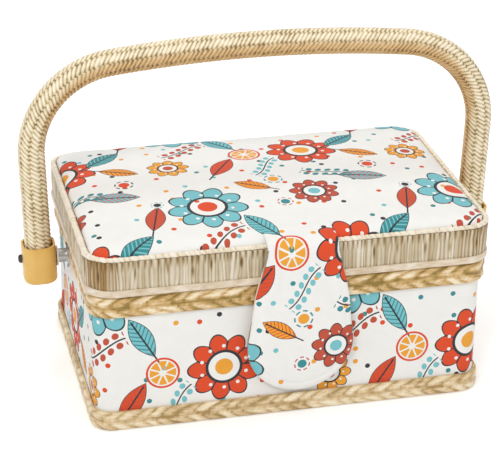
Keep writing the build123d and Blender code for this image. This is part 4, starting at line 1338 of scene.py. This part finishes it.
class BASKET_OT_fittings(bpy.types.Operator):
    """Gives the hard parts their finishes"""

    bl_idname = "basket.fittings"
    bl_label = "Hard parts"

    def execute(self, context):
        slots = {
            "board": "greyboard",
            "underside_paper": "lining_paper",
            "plated_steel": "plated_steel",
            "hinge_brass": "lacquered_brass",
            "dark_metal": "blackened_steel",
            "nylon": "natural_nylon",
            "core_plastic": "core_polypropylene",
            "mustard_plastic": "mustard_abs",
            "tray_plastic": "tray_polystyrene",
            "foam": "natural_nylon",
            "satin_lining": "satin_lining",
            "printed_cotton": "printed_cotton",
            "gold_braid": "rim_plait",
            "gold_lame": "gold_lame",
            "gold_piping": "ruched_piping",
            "cream_binding": "satin_binding",
            "gold_cord": "wound_cord",
            "pincushion_cloth": "pincushion_cotton",
        }
        for part in frame["record"]["subparts"]:
            node = frame["nodes"][part["node"]]
            for slot in node.material_slots:
                slot.material = finish(slots[part["material_slot"]])
        return {"FINISHED"}


class BASKET_PT_panel(bpy.types.Panel):
    """The basket's pieces, sizes and colours"""

    bl_idname = "BASKET_PT_panel"
    bl_label = "Sewing basket"
    bl_space_type = "VIEW_3D"
    bl_region_type = "UI"
    bl_category = "Basket"

    def draw(self, context):
        for maker in MAKERS:
            self.layout.operator(maker.bl_idname)
        for group in (context.scene.basket_sizes, context.scene.basket_colours):
            box = self.layout.box()
            for key in group.bl_rna.properties.keys():
                if key not in ("rna_type", "name"):
                    box.prop(group, key)


MAKERS = (
    BASKET_OT_stage,
    BASKET_OT_walls,
    BASKET_OT_braids,
    BASKET_OT_box_lining,
    BASKET_OT_padded_top,
    BASKET_OT_lid_edges,
    BASKET_OT_lid_lining,
    BASKET_OT_tab,
    BASKET_OT_handle,
    BASKET_OT_fittings,
)
CLASSES = (BasketSizes, BasketColours) + MAKERS + (BASKET_PT_panel,)


def register():
    """Registers the classes and hangs the sizes and colours on the scene."""
    for each in CLASSES:
        bpy.utils.register_class(each)
    bpy.types.Scene.basket_sizes = bpy.props.PointerProperty(type=BasketSizes)
    bpy.types.Scene.basket_colours = bpy.props.PointerProperty(type=BasketColours)


def unregister():
    """Takes them all away again."""
    del bpy.types.Scene.basket_sizes
    del bpy.types.Scene.basket_colours
    for each in reversed(CLASSES):
        bpy.utils.unregister_class(each)


def main():
    """Builds the basket."""
    register()
    bpy.ops.basket.stage()
    bpy.ops.basket.walls()
    bpy.ops.basket.braids()
    bpy.ops.basket.box_lining()
    bpy.ops.basket.padded_top()
    bpy.ops.basket.lid_edges()
    bpy.ops.basket.lid_lining()
    bpy.ops.basket.tab()
    bpy.ops.basket.handle()
    bpy.ops.basket.fittings()


if __name__ == "__main__":
    main()
